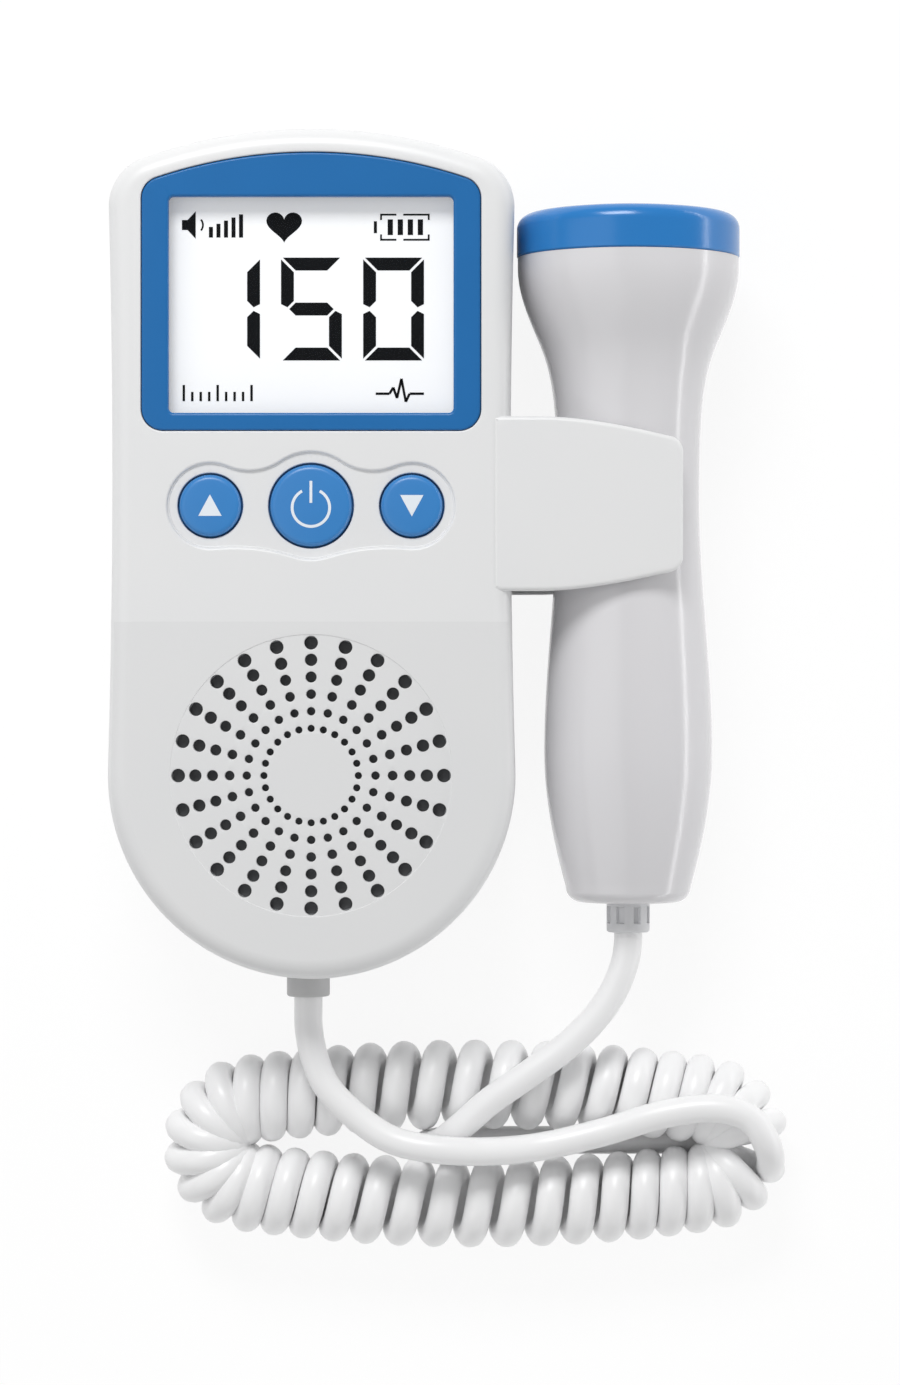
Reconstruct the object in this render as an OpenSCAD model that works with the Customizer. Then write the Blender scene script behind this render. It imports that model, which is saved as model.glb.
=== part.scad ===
// Pocket fetal doppler: a display unit with a hand-held probe clipped at its side, joined by a curly cord.
// The unit lies on its back: X runs across it towards the probe, Y up the display, Z out of its front face.
// Each part is drawn about the middle of the case and then moved to the datum under the whole object.

/* [Case] */
// Width of the case at its round lower end
case_w = 65; // [60:0.5:70]
// Length of the case
case_h = 135.5; // [128:0.5:142]
// Depth of the case from its flat back to its front face
case_d = 33; // [31.5:0.5:36]
// How far each side draws in at the waist
waist_pinch = 0.75; // [0.3:0.05:1.5]
// Height of the waist over the middle of the case
waist_y = 13; // [5:1:20]
// Radius of the upper corners in plan
corner_r = 8.3; // [6:0.1:11]
// Radius of the arched top in plan
arch_r = 81; // [70:1:100]
// Radius of the front edge
front_edge_r = 3.2; // [2.5:0.1:4]
// Radius of the back edge
back_edge_r = 5; // [3:0.1:6]
// Wall thickness of both case shells
wall = 2; // [1.8:0.1:2.3]
// Height of the joint between the two shells
split_z = 16; // [15:0.5:17]
// Bevel along both edges of that joint
seam = 0.2; // [0.1:0.05:0.35]
// Height of the rear shell's lip inside the front shell
lip_h = 1.2; // [0.8:0.1:1.6]
// Thickness of the lip
lip_t = 1; // [0.8:0.1:1.2]
// Fall of the lower front face from the crease to the foot
face_fall = 0.7; // [0.3:0.1:1.2]
// Height of the crease on the front face, from the middle of the case
crease_y = -10.8; // [-12:0.1:-9]

/* [Display] */
// Middle of the display window below the top of the case
view_drop = 28.25; // [27.5:0.05:29]
// Width of the visible display
view_w = 45.2; // [42:0.1:47]
// Height of the visible display
view_h = 34.3; // [30:0.1:36]
// Width of the blue bezel
bezel_w = 53.8; // [52:0.1:55]
// Gap between the arched top of the bezel and the top of the case
bezel_top_gap = 4.1; // [3.6:0.1:5]
// Bezel below the visible display
bezel_chin = 2.8; // [2.2:0.1:4]
// Corner radius of the bezel
bezel_r = 3.4; // [2.5:0.1:5]
// Thickness of the bezel
bezel_t = 1.4; // [1.2:0.1:1.6]
// Thickness of the clear lens under the bezel
lens_t = 0.8; // [0.6:0.1:1]
// How far the lens reaches under the bezel
lens_lap = 1.9; // [1.5:0.1:2.5]
// Thickness of the display glass
glass_t = 2.2; // [1.8:0.1:2.4]

/* [Buttons] */
// Button row below the middle of the display
button_drop = 31.9; // [31:0.1:32.6]
// Distance of each side button from the centre button
button_pitch = 16; // [15.4:0.1:17]
// Radius of the side buttons
side_button_r = 4.9; // [4.2:0.1:5.2]
// Radius of the power button
power_button_r = 6.5; // [5.5:0.1:7]
// Rim of recess around each side button
recess_rim = 1.9; // [1.6:0.1:2.1]
// Rim of recess around the power button
power_rim = 2; // [1.7:0.1:2.2]
// Radius of the recess's narrow valleys above the buttons
upper_valley_r = 8.9; // [7:0.1:12]
// Radius of its shallow valleys below them
lower_valley_r = 31.1; // [24:0.1:40]
// Depth of the shared recess
recess_depth = 0.6; // [0.4:0.1:0.8]
// How far the buttons stand over the front face
button_rise = 0.4; // [0.2:0.1:0.8]
// Travel of a button
button_travel = 0.8; // [0.6:0.1:1]

/* [Speaker] */
// Radius of the speaker driver
speaker_r = 23; // [22.6:0.1:23.3]
// Number of spokes in the grille
spokes = 24; // [18:1:28]
// Number of rings in the grille
rings = 6; // [4:1:6]
// Radius of the inner ring of holes
ring_first_r = 7.5; // [6.5:0.1:8]
// Distance between the rings
ring_step = 2.72; // [2.5:0.02:2.8]
// Diameter of the holes in the inner ring
hole_first_d = 1.15; // [0.9:0.05:1.3]
// How much each ring's holes grow
hole_grow = 0.21; // [0.15:0.01:0.24]
// Radius of the shallow disc that the holes stand in
grille_r = 22.4; // [22.2:0.05:22.6]
// Depth of that disc under the front face
grille_drop = 0.12; // [0.08:0.02:0.2]
// Thickness of the cloth behind the holes
cloth_t = 0.5; // [0.3:0.1:0.5]

/* [Battery bay] */
// Diameter of a battery cell
cell_d = 14.3; // [13.8:0.1:14.5]
// Length of a battery cell
cell_l = 50.5; // [48:0.1:51]
// Room for the spring contacts at the ends of the cells
spring_room = 5; // [4.4:0.1:6]
// Upper end of the battery bay, from the middle of the case
bay_top_y = 6.5; // [5:0.1:8]
// Thickness of the battery door
door_t = 2; // [1.7:0.1:2.2]
// How far the door slides before it lifts off
door_slide = 8; // [6:0.5:9]

/* [Holder] */
// Thickness of the holder's rear arm and cradle
arm_t = 2.1; // [1.6:0.1:2.5]
// Thickness of the holder's front arm
front_arm_t = 2.4; // [2.2:0.1:2.8]
// Upper edge of the arms at the case, from the middle of the case
arm_top_y = 21.8; // [20:0.1:23]
// Lower edge of the arms at the case
arm_low_y = -5.8; // [-7:0.1:-4.5]
// Radius of the arms' curved edges
arm_edge_r = 112; // [90:1:150]
// How far the arms reach past the probe's axis
arm_over = 8.1; // [6:0.1:10]
// Corner radius at the arms' tips
arm_tip_r = 2.6; // [1.5:0.1:4]

/* [Probe] */
// Length of the probe from its tail to its blue face
probe_l = 112.6; // [106:0.1:118]
// Drop of the probe's face below the top of the case
probe_drop = 11.15; // [9:0.05:14]
// Radius of the probe's head
head_r = 17.9; // [17:0.1:18.2]
// Radius of the neck that the holder clips
neck_r = 11.5; // [10.5:0.1:12]
// Radius of the grip
grip_r = 13.6; // [12.8:0.1:14.5]
// Radius just above the tail's corner
tail_r = 10.15; // [9.4:0.1:10.8]
// How far the blue face cap stands over the head
cap_lip = 0.15; // [0.1:0.05:0.3]
// Height of the blue face cap
cap_h = 8.3; // [7:0.1:9]
// Crown of the blue face
cap_crown = 1.6; // [1:0.1:2.5]
// Wall thickness of the probe's shells
probe_wall = 2; // [1.7:0.1:2.3]
// Gap between the case and the probe's head
probe_gap = 0.4; // [0.3:0.05:1]

/* [Cord] */
// Diameter of the cord
cord_d = 4.6; // [4:0.1:4.6]
// Outer diameter of the curly cord
curl_d = 14.8; // [13.8:0.1:15]
// Distance between the two long rows at the middle of the ring of curly cord
row_gap = 19.5; // [19.4:0.1:21]
// Length of the ring, from the middle of the curl at one end to the other
ring_l = 88.5; // [82:0.5:94]
// Radius of the ring's two tight ends
ring_end_r = 7.6; // [7.5:0.05:8]
// Diameter of the sleeves that hold the cord
gland_d = 7; // [6.4:0.1:7.4]
// How far the unit's sleeve stands out
gland_l = 3.7; // [3:0.1:4.5]
// How far the probe's sleeve stands out
probe_gland_l = 4.9; // [4.3:0.1:5.5]
// Number of slots that let the probe's sleeve bend
gland_slots = 8; // [6:1:10]
// Width of the slots
slot_w = 1.2; // [0.9:0.1:1.3]
// Depth of the slots
slot_depth = 0.6; // [0.4:0.1:0.7]

/* [Fits] */
// Clearance around pieces that sit still
fit = 0.1; // [0.05:0.01:0.15]
// Clearance around pieces that move
slip = 0.3; // [0.25:0.01:0.4]

/* [Hidden] */
$fn = 64;

white = "#e6e6e6";
blue = "#2f79c4";
grey = "#a0a0a0";
board_green = "#1f6b45";
steel = "#b9bcc0";

// Plan of the case: a round foot around the speaker, two hollow flanks, two corners and an arched top, all
// of them tangent arcs.
foot_r = case_w / 2;
foot_y = foot_r - case_h / 2;
view_y = case_h / 2 - view_drop;
button_y = view_y - button_drop;
speaker_y = foot_y;
waist_w = foot_r - waist_pinch;
waist_rise = waist_y - foot_y;
flank_r = (waist_w * waist_w + waist_rise * waist_rise - foot_r * foot_r) / (2 * waist_pinch);
flank_x = waist_w + flank_r;
arch_y = case_h / 2 - arch_r;
foot_a = atan2(waist_rise, flank_x);
// The corner's centre lies on a circle around the flank's centre and on one around the arch's centre.
to_flank = flank_r + corner_r;
to_arch = arch_r - corner_r;
centres = [flank_x, waist_y - arch_y];
apart = norm(centres);
along = (to_arch * to_arch - to_flank * to_flank + apart * apart) / (2 * apart);
aside = sqrt(to_arch * to_arch - along * along);
corner = [0, arch_y] + along * centres / apart + aside * [-centres.y, centres.x] / apart;
flank_a = atan2(waist_y - corner.y, flank_x - corner.x);
arch_a = atan2(corner.y - arch_y, corner.x);

// Heights inside the case, from the front face down.
front_inner_z = case_d - wall;
pocket_z = case_d - bezel_t - fit;
lens_seat_z = pocket_z - lens_t - fit;
boss_z = lens_seat_z - 1.1;
lcd_z = boss_z - fit - glass_t;
board_t = 1.6;
board_z = split_z + 4;
board_top_z = board_z + board_t;
board_low_y = -11;
flange_t = 0.8;
mat_t = 1;
dome_z = board_top_z + mat_t + 2 + button_travel;
side_basin_r = side_button_r + recess_rim;
power_basin_r = power_button_r + power_rim;
mat_w = 2 * (button_pitch + side_button_r) + 3;
mat_h = 2 * power_button_r + 3;

// Battery bay in the rear shell.
bay_wall = 1.3;
bay_w = 2 * cell_d + 1;
bay_l = cell_l + spring_room + 2;
bay_low_y = bay_top_y - bay_l;
cell_z = door_t + slip + 0.2 + cell_d / 2;
bay_z = cell_z + cell_d / 2 + 0.3;
bay_y = bay_low_y + bay_l / 2;
door_w = bay_w + 4;
door_top_y = bay_top_y + 1.6;
bed_t = 1.8;
tab_w = 1;
tab_l = 7;
tab_t = 0.8;
tab_z = 0.9;
tab_places = [door_top_y - 9, door_top_y - 30, door_top_y - 51];

// Screws: [x, y, top of the rear post, foot of the front boss].
screw_r = 1.25;
screw_head_r = 2.5;
screw_head_z = 2.4;
post_r = 3;
upper_screw_y = 14.4;
upper_screw_x = waist_w - wall - post_r - slip;
lower_screw_a = 46;
lower_screw_r = foot_r - wall - post_r + 1.2;
lower_screw = [lower_screw_r * sin(lower_screw_a), foot_y - lower_screw_r * cos(lower_screw_a)];
screws = [[upper_screw_x, upper_screw_y, board_z, board_top_z],
          [-upper_screw_x, upper_screw_y, board_z, board_top_z],
          [lower_screw.x, lower_screw.y, split_z, split_z],
          [-lower_screw.x, lower_screw.y, split_z, split_z]];
screw_l = 4.5;

// Speaker.
speaker_top_z = front_inner_z - 0.8;
basket_t = 1;
magnet_r = 11;
coil_r = magnet_r / 2;
magnet_top_z = speaker_top_z - 5.6;
magnet_low_z = bay_z + bay_wall + 0.6;

// Probe, drawn along its own axis from the tail at 0 to the face.
cap_r = head_r + cap_lip;
probe_x = foot_r + probe_gap + cap_r;
probe_z = cap_r + 0.1;
probe_low_y = case_h / 2 - probe_drop - probe_l;
cap_low = probe_l - cap_h;
crystal_r = cap_r / 2;
crystal_t = 1.8;
backing_l = 8;
backing_low = cap_low - crystal_t - backing_l;
// Stations of the outline: place along the axis, radius and slope.
tail_round = 2.6;
stations = [[tail_round, tail_r, 0.28], [24.5, grip_r, 0], [65, neck_r, 0], [78, neck_r + 0.3, 0.06],
            [90.5, (neck_r + head_r) / 2 - 0.35, 0.42], [probe_l - 10.1, head_r, 0.01], [cap_low, head_r, 0]];
function blend(a, b, t) =
    let (l = b[0] - a[0])
    (2 * t * t * t - 3 * t * t + 1) * a[1] + (t * t * t - 2 * t * t + t) * l * a[2]
    + (3 * t * t - 2 * t * t * t) * b[1] + (t * t * t - t * t) * l * b[2];
function probe_r(s, i = 0) =
    i >= len(stations) - 2 || s <= stations[i + 1][0]
    ? blend(stations[i], stations[i + 1], (s - stations[i][0]) / (stations[i + 1][0] - stations[i][0]))
    : probe_r(s, i + 1);
function flank_points(inset, low, high, steps) =
    [for (i = [0:steps]) let (s = low + (high - low) * i / steps) [probe_r(s) - inset, s]];

// Holder: a channel around the neck, open away from the case.
neck_at_arms = max([for (y = [arm_low_y:2:arm_top_y]) probe_r(y - probe_low_y)]);
seat_r = neck_at_arms + slip;
arm_mid_y = (arm_top_y + arm_low_y) / 2;
arm_end_x = probe_x + arm_over;
arm_root_x = waist_w - 2;
arm_crown_r = 300;
rib_t = 1.8;

// Cord.
lead_r = cord_d / 2;
gland_x = -1;
gland_z = split_z;
curl_r = curl_d / 2;
ring_x = 26.4;
ring_y = -96.4;
// The rows bow outwards on arcs that touch the arcs of the ends.
row_r = (pow(ring_l / 2, 2) - ring_l * ring_end_r + pow(row_gap / 2, 2)) / (row_gap - 2 * ring_end_r);
row_a = asin((ring_l / 2 - ring_end_r) / (row_r - ring_end_r));

// Datum: on the table, under the middle of the unit and its probe.
gland_end_y = -case_h / 2 - gland_l;
datum_x = (probe_x + cap_r - foot_r) / 2;
datum_y = (case_h / 2 + gland_end_y) / 2;

module at_datum() {
    translate([-datum_x, -datum_y, 0])
        children();
}

// What a round of radius r takes off a square corner that points to +X +Y.
module corner_waste(r) {
    difference() {
        translate([-r, -r])
            square(r + 1);
        translate([-r, -r])
            circle(r, $fn = 48);
    }
}

// Section from x0 to x1, rounded at its outer side by front_r above and back_r below.
module rim_section(x0, x1, z0, z1, front_r, back_r) {
    difference() {
        translate([x0, z0])
            square([x1 - x0, z1 - z0]);
        if (front_r > 0)
            translate([x1, z1])
                corner_waste(front_r);
        if (back_r > 0)
            translate([x1, z0])
                mirror([0, 1])
                    corner_waste(back_r);
    }
}

// Points along an arc, without its last one, where the next arc starts.
function arc(centre, r, a0, a1, steps) =
    [for (i = [0:steps - 1]) let (a = a0 + (a1 - a0) * i / steps) centre + r * [cos(a), sin(a)]];

// Plan of the case, drawn in by inset all round.
function case_plan(inset) = concat(
    arc([0, foot_y], foot_r - inset, 180 - foot_a, 360 + foot_a, 36),
    arc([flank_x, waist_y], flank_r + inset, 180 + foot_a, 180 + flank_a, 4),
    arc(corner, corner_r - inset, flank_a, arch_a, 7),
    arc([0, arch_y], arch_r - inset, arch_a, 180 - arch_a, 12),
    arc([-corner.x, corner.y], corner_r - inset, 180 - arch_a, 180 - flank_a, 7),
    arc([-flank_x, waist_y], flank_r + inset, -flank_a, -foot_a, 4));

// Heights and insets of a rounded edge that starts at z and runs up (1) or down to it (-1).
// An edge of up to half a millimetre is a bevel.
function edge_levels(z, r, way) =
    let (steps = r > 0.5 ? 4 : 1)
    r == 0 ? [[z, 0]]
           : [for (i = [0:steps])
                 let (a = 90 * (way > 0 ? steps - i : i) / steps)
                 [z + way * r * (1 - sin(a)), r * (1 - cos(a))]];

// Solid through the plan of the case at each level, which is a height and an inset.
module plan_loft(levels) {
    count = len(case_plan(0));
    points = [for (l = levels, p = case_plan(l[1])) [p.x, p.y, l[0]]];
    top = (len(levels) - 1) * count;
    sides = [for (l = [0:len(levels) - 2], k = [0:count - 1])
                let (a = l * count + k, b = l * count + (k + 1) % count)
                [a, a + count, b + count, b]];
    ends = [[for (k = [0:count - 1]) k], [for (k = [0:count - 1]) top + count - 1 - k]];
    polyhedron(points, concat(sides, ends));
}

// The case's form between two heights, drawn in by inset, with rounded front and back edges.
module case_form(inset, z0, z1, front_r = 0, back_r = 0) {
    levels = concat(edge_levels(z0, back_r, 1), edge_levels(z1, front_r, -1));
    plan_loft([for (l = levels) [l[0], inset + l[1]]]);
}

// Rectangle with round corners, centred.
module round_rect(w, h, r) {
    square([w, h - 2 * r], center = true);
    square([w - 2 * r, h], center = true);
    for (x = [-1, 1], y = [-1, 1])
        translate([x * (w / 2 - r), y * (h / 2 - r)])
            circle(r);
}

// Outline of the bezel, grown by more all round: straight sides under an arched top.
module bezel_outline(more = 0) {
    half = bezel_w / 2 + more;
    r = bezel_r + more;
    top_r = arch_r - bezel_top_gap + more;
    low = view_y - view_h / 2 - bezel_chin - more;
    shoulder = arch_y + sqrt(pow(top_r - r, 2) - pow(half - r, 2));
    translate([-half, low + r])
        square([2 * half, shoulder - low - r]);
    translate([r - half, low])
        square([2 * (half - r), 2 * r]);
    for (x = [-1, 1], y = [low + r, shoulder])
        translate([x * (half - r), y])
            circle(r);
    intersection() {
        translate([0, arch_y])
            circle(top_r, $fn = 360);
        translate([-(half - r) * top_r / (top_r - r), shoulder])
            square([2 * (half - r) * top_r / (top_r - r), top_r]);
    }
}

// Centre of a valley's arc of radius r that touches the power basin and the right-hand one from outside.
function valley(r) =
    let (a = power_basin_r + r, b = side_basin_r + r,
         x = (a * a - b * b + button_pitch * button_pitch) / (2 * button_pitch))
    [x, sqrt(a * a - x * x)];

// Shared recess of the three buttons: a round basin for each, with tangent valleys between them.
module recess_outline() {
    up = valley(upper_valley_r);
    low = valley(lower_valley_r);
    // Angles from the power basin and from the side basin to each valley's centre.
    up_power = atan2(up.y, up.x);
    up_side = atan2(up.y, up.x - button_pitch);
    low_power = atan2(low.y, low.x);
    low_side = atan2(low.y, low.x - button_pitch);
    half = concat(
        arc([0, 0], power_basin_r, -90, -low_power, 6),
        arc([low.x, -low.y], lower_valley_r, 180 - low_power, 180 - low_side, 5),
        arc([button_pitch, 0], side_basin_r, -low_side, up_side, 22),
        arc(up, upper_valley_r, up_side - 180, up_power - 180, 7),
        arc([0, 0], power_basin_r, up_power, 90, 7),
        [[0, power_basin_r]]);
    translate([0, button_y])
        polygon(concat(half, [for (i = [len(half) - 2:-1:1]) [-half[i].x, half[i].y]]));
}

module grille_holes() {
    for (ring = [0:rings - 1], spoke = [0:spokes - 1])
        rotate([0, 0, spoke * 360 / spokes])
            translate([ring_first_r + ring * ring_step, 0, front_inner_z - 1])
                cylinder(h = wall + 2, d = hole_first_d + ring * hole_grow, $fn = 14);
}

// Plan of one holder arm: a tongue whose long edges curve in towards the tip.
module arm_plan() {
    reach = arm_end_x - arm_root_x;
    intersection() {
        translate([arm_root_x - arm_tip_r, arm_mid_y])
            translate([(reach + arm_tip_r) / 2, 0])
                round_rect(reach + arm_tip_r, arm_top_y - arm_low_y - 5, arm_tip_r);
        translate([arm_root_x, arm_low_y])
            square([reach, arm_top_y - arm_low_y]);
    }
    intersection() {
        translate([arm_root_x, arm_low_y])
            square([reach - arm_tip_r, arm_top_y - arm_low_y]);
        translate([arm_root_x + 4, arm_top_y - arm_edge_r])
            circle(arm_edge_r, $fn = 360);
        translate([arm_root_x + 4, arm_low_y + arm_edge_r])
            circle(arm_edge_r, $fn = 360);
    }
}

// One arm of the holder, flat inside and crowned outside, from the channel's inner height to its outer one.
module arm(inner_z, thickness) {
    intersection() {
        translate([0, 0, inner_z])
            linear_extrude(thickness)
                arm_plan();
        translate([arm_root_x + 6, arm_mid_y, inner_z + thickness - arm_crown_r])
            rotate([90, 0, 0])
                cylinder(h = 60, r = arm_crown_r, center = true, $fn = 720);
    }
}

// The curved wall behind the neck and the two ribs that tie it to the case.
module cradle() {
    low = arm_low_y + 1.5;
    high = arm_top_y - 1.5;
    difference() {
        union() {
            translate([probe_x, low, probe_z])
                rotate([-90, 0, 0])
                    cylinder(h = high - low, r = seat_r + arm_t);
            for (y = [low + 4, high - 4 - rib_t])
                translate([waist_w - wall / 2, y, probe_z - seat_r - arm_t + 0.5])
                    cube([probe_x - waist_w, rib_t, 2 * (seat_r + arm_t) - 1]);
        }
        translate([probe_x, 0, probe_z])
            rotate([90, 0, 0])
                cylinder(h = 2 * case_h, r = seat_r, center = true);
        translate([probe_x - seat_r / 2, -case_h, -case_d])
            cube([case_w, 2 * case_h, 4 * case_d]);
    }
}

// Half of the holder, on the side of the joint that the shell is on.
module holder(front) {
    intersection() {
        cradle();
        translate([waist_w - wall / 2, -case_h / 2, front ? split_z : 0])
            cube([case_w, case_h, front ? 2 * case_d : split_z]);
    }
    if (front)
        arm(probe_z + seat_r, front_arm_t);
    else
        translate([0, 0, 2 * (probe_z - seat_r) - arm_t])
            translate([0, 0, arm_t])
                mirror([0, 0, 1])
                    arm(probe_z - seat_r, arm_t);
}

// Hole for a sleeve's neck through the wall at the foot of the case.
module gland_hole() {
    translate([gland_x, foot_y, gland_z])
        rotate([90, 0, 0])
            cylinder(h = case_h, d = gland_d - 1.2 + 2 * fit);
}

module front_shell() {
    face_tilt = atan2(face_fall, case_h / 2 + crease_y);
    color(white)
        at_datum()
            difference() {
                union() {
                    difference() {
                        case_form(0, split_z, case_d, front_edge_r, seam);
                        case_form(wall, split_z - 1, front_inner_z, max(front_edge_r - wall, 0.4));
                    }
                    translate([0, 0, boss_z])
                        linear_extrude(case_d - bezel_t - boss_z)
                            bezel_outline(1.2);
                    translate([0, speaker_y, speaker_top_z])
                        difference() {
                            cylinder(h = wall, r = speaker_r + 0.4);
                            translate([0, 0, -1])
                                cylinder(h = wall + 2, r = speaker_r - 0.7);
                        }
                    for (s = screws)
                        translate([s[0], s[1], s[3]])
                            cylinder(h = front_inner_z + 0.5 - s[3], r = post_r);
                    holder(true);
                }
                translate([0, 0, pocket_z])
                    linear_extrude(case_d)
                        bezel_outline(fit);
                translate([0, view_y, lens_seat_z])
                    linear_extrude(case_d)
                        round_rect(view_w + 2 * lens_lap + 2 * fit, view_h + 2 * lens_lap + 2 * fit, 1);
                translate([0, view_y, split_z])
                    linear_extrude(case_d)
                        round_rect(view_w + 1, view_h + 1, 1);
                translate([0, 0, case_d - recess_depth])
                    linear_extrude(case_d)
                        recess_outline();
                for (b = [[-button_pitch, side_button_r], [0, power_button_r], [button_pitch, side_button_r]])
                    translate([b[0], button_y, split_z])
                        cylinder(h = case_d, r = b[1] + slip);
                translate([0, speaker_y, 0])
                    grille_holes();
                for (s = screws)
                    translate([s[0], s[1], s[3] - 1])
                        cylinder(h = screw_l + 1.5, r = screw_r + 0.05);
                gland_hole();
                translate([0, crease_y, case_d])
                    rotate([face_tilt, 0, 0]) {
                        translate([-case_w, -case_h, 0])
                            cube([2 * case_w, case_h, case_d]);
                        translate([0, speaker_y - crease_y, -grille_drop])
                            cylinder(h = case_d, r = grille_r, $fn = 128);
                    }
            }
}

// The block that the battery door fills: the door's own outline, grown by more.
module door_block(more) {
    translate([-door_w / 2 - more, -case_h, -1])
        cube([door_w + 2 * more, case_h + door_top_y + more, door_t + 1 + more]);
}

module door_tabs(more, run, z0, z1) {
    for (side = [0, 1], y = tab_places)
        mirror([side, 0, 0])
            translate([door_w / 2 - 0.5, y - more - run, z0])
                cube([tab_w + 0.5 + more, tab_l + 2 * more + run, z1 - z0]);
}

// The rear shell's lip stands inside the front shell's wall, clear of that shell's bosses and the sleeve.
module lip() {
    inset = wall + fit;
    root = wall - 0.5;
    difference() {
        plan_loft([[split_z - 2, root], [split_z - fit, root], [split_z - fit, inset],
                   [split_z + lip_h, inset]]);
        case_form(inset + lip_t, split_z - 3, split_z + lip_h + 1);
        for (s = screws)
            if (s[3] < split_z + lip_h)
                translate([s[0], s[1], split_z - fit])
                    cylinder(h = case_d, r = post_r + slip);
        translate([gland_x - gland_d / 2 - 1, -case_h, 0])
            cube([gland_d + 2, case_h / 2 + wall + lip_t + 1, case_d]);
    }
}

module rear_shell() {
    color(white)
        at_datum()
            difference() {
                union() {
                    difference() {
                        case_form(0, 0, split_z, seam, back_edge_r);
                        case_form(wall, wall, split_z + 1, 0, max(back_edge_r - wall, 0.4));
                    }
                    lip();
                    intersection() {
                        case_form(0, 0, split_z, 0, back_edge_r);
                        translate([-door_w / 2 - wall - 1, -case_h, 0])
                            cube([door_w + 2 * wall + 2, case_h + door_top_y + wall, door_t + slip + bed_t]);
                    }
                    translate([-bay_w / 2 - bay_wall, bay_low_y - bay_wall, wall])
                        cube([bay_w + 2 * bay_wall, bay_l + 2 * bay_wall, bay_z + bay_wall - wall]);
                    for (s = screws)
                        translate([s[0], s[1], wall / 2])
                            cylinder(h = s[2] - wall / 2, r = post_r);
                    holder(false);
                }
                translate([-bay_w / 2, bay_low_y, -1])
                    cube([bay_w, bay_l, bay_z + 1]);
                door_block(slip);
                door_tabs(slip, door_slide, tab_z - slip, tab_z + tab_t + slip);
                translate([0, -door_slide, 0])
                    door_tabs(slip, 0, -1, tab_z + tab_t);
                for (s = screws)
                    translate([s[0], s[1], -1]) {
                        cylinder(h = screw_head_z + 1 + 1.9, r = screw_head_r + 0.3);
                        cylinder(h = case_d, r = screw_r + 0.2);
                    }
                gland_hole();
            }
}

module display_bezel() {
    color(blue)
        at_datum()
            translate([0, 0, pocket_z])
                linear_extrude(bezel_t)
                    difference() {
                        bezel_outline();
                        translate([0, view_y])
                            round_rect(view_w, view_h, 0.8);
                    }
}

module display_lens() {
    color("#dfe8ee", 0.5)
        at_datum()
            translate([0, view_y, pocket_z - lens_t])
                linear_extrude(lens_t)
                    round_rect(view_w + 2 * lens_lap, view_h + 2 * lens_lap, 0.9);
}

module lcd_glass() {
    color("#e9edf0")
        at_datum()
            translate([0, view_y, lcd_z])
                linear_extrude(glass_t)
                    square([view_w + 4, view_h + 4], center = true);
}

module lcd_frame() {
    color("#f4f4f0")
        at_datum()
            translate([0, view_y, board_top_z])
                linear_extrude(lcd_z - board_top_z)
                    difference() {
                        square([view_w + 5, view_h + 5], center = true);
                        for (x = [-1, 1])
                            translate([x * (view_w / 4 + 0.5), 0])
                                square([view_w / 2 - 3, view_h - 3], center = true);
                    }
}

module keypad_mat() {
    color("#c9ccd0")
        at_datum()
            translate([0, button_y, board_top_z])
                linear_extrude(mat_t)
                    difference() {
                        round_rect(mat_w, mat_h, 2);
                        for (x = [-1, 0, 1])
                            translate([x * button_pitch, 0])
                                circle(4);
                    }
}

// A hollow silicone dome that springs its button back.
module dome(x) {
    dome_h = dome_z - board_top_z;
    color("#c9ccd0")
        at_datum()
            translate([x, button_y, board_top_z])
                rotate_extrude()
                    polygon([[3, 0], [3.9, 0], [3.9, mat_t], [2.2, dome_h], [0, dome_h], [0, dome_h - 0.9],
                             [1.7, dome_h - 0.9]]);
}

module dome_up() {
    dome(-button_pitch);
}

module dome_power() {
    dome(0);
}

module dome_down() {
    dome(button_pitch);
}

// A button cap: round top edge, a flange that keeps it under the wall and a stem down to its dome.
module button(x, r) {
    top_z = case_d + button_rise;
    flange_z = front_inner_z - slip - flange_t;
    color(blue)
        at_datum()
            translate([x, button_y, 0])
                rotate_extrude() {
                    rim_section(0, r, flange_z, top_z, 0.9, 0);
                    translate([0, flange_z])
                        square([r + 1, flange_t]);
                    translate([0, dome_z + slip])
                        square([1.8, flange_z - dome_z - slip]);
                }
}

module button_up() {
    button(-button_pitch, side_button_r);
}

module button_power() {
    button(0, power_button_r);
}

module button_down() {
    button(button_pitch, side_button_r);
}

module main_board() {
    color(board_green)
        at_datum()
            difference() {
                intersection() {
                    case_form(wall + 0.5, board_z, board_top_z);
                    translate([-case_w, board_low_y, 0])
                        cube([2 * case_w, case_h, case_d]);
                }
                for (s = screws)
                    translate([s[0], s[1], 0])
                        cylinder(h = case_d, r = screw_r + 0.2);
            }
}

// Chips, a transformer, two capacitors and a crystal can under the board.
module board_parts() {
    color("#2b2d30")
        at_datum() {
            for (p = [[-12, 44, 11, 11, 1.6], [6, 46, 8, 6, 1.5], [12, 28, 9, 9, 6.5], [-14, 24, 6, 4, 1.5]])
                translate([p[0], p[1], board_z - p[4]])
                    cube([p[2], p[3], p[4]]);
            for (y = [30, 38])
                translate([3, y, board_z - 8])
                    cylinder(h = 8, r = 2.5);
            translate([-5, 36, board_z - 3.5])
                linear_extrude(3.5)
                    round_rect(10, 4, 1.9);
        }
}

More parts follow.
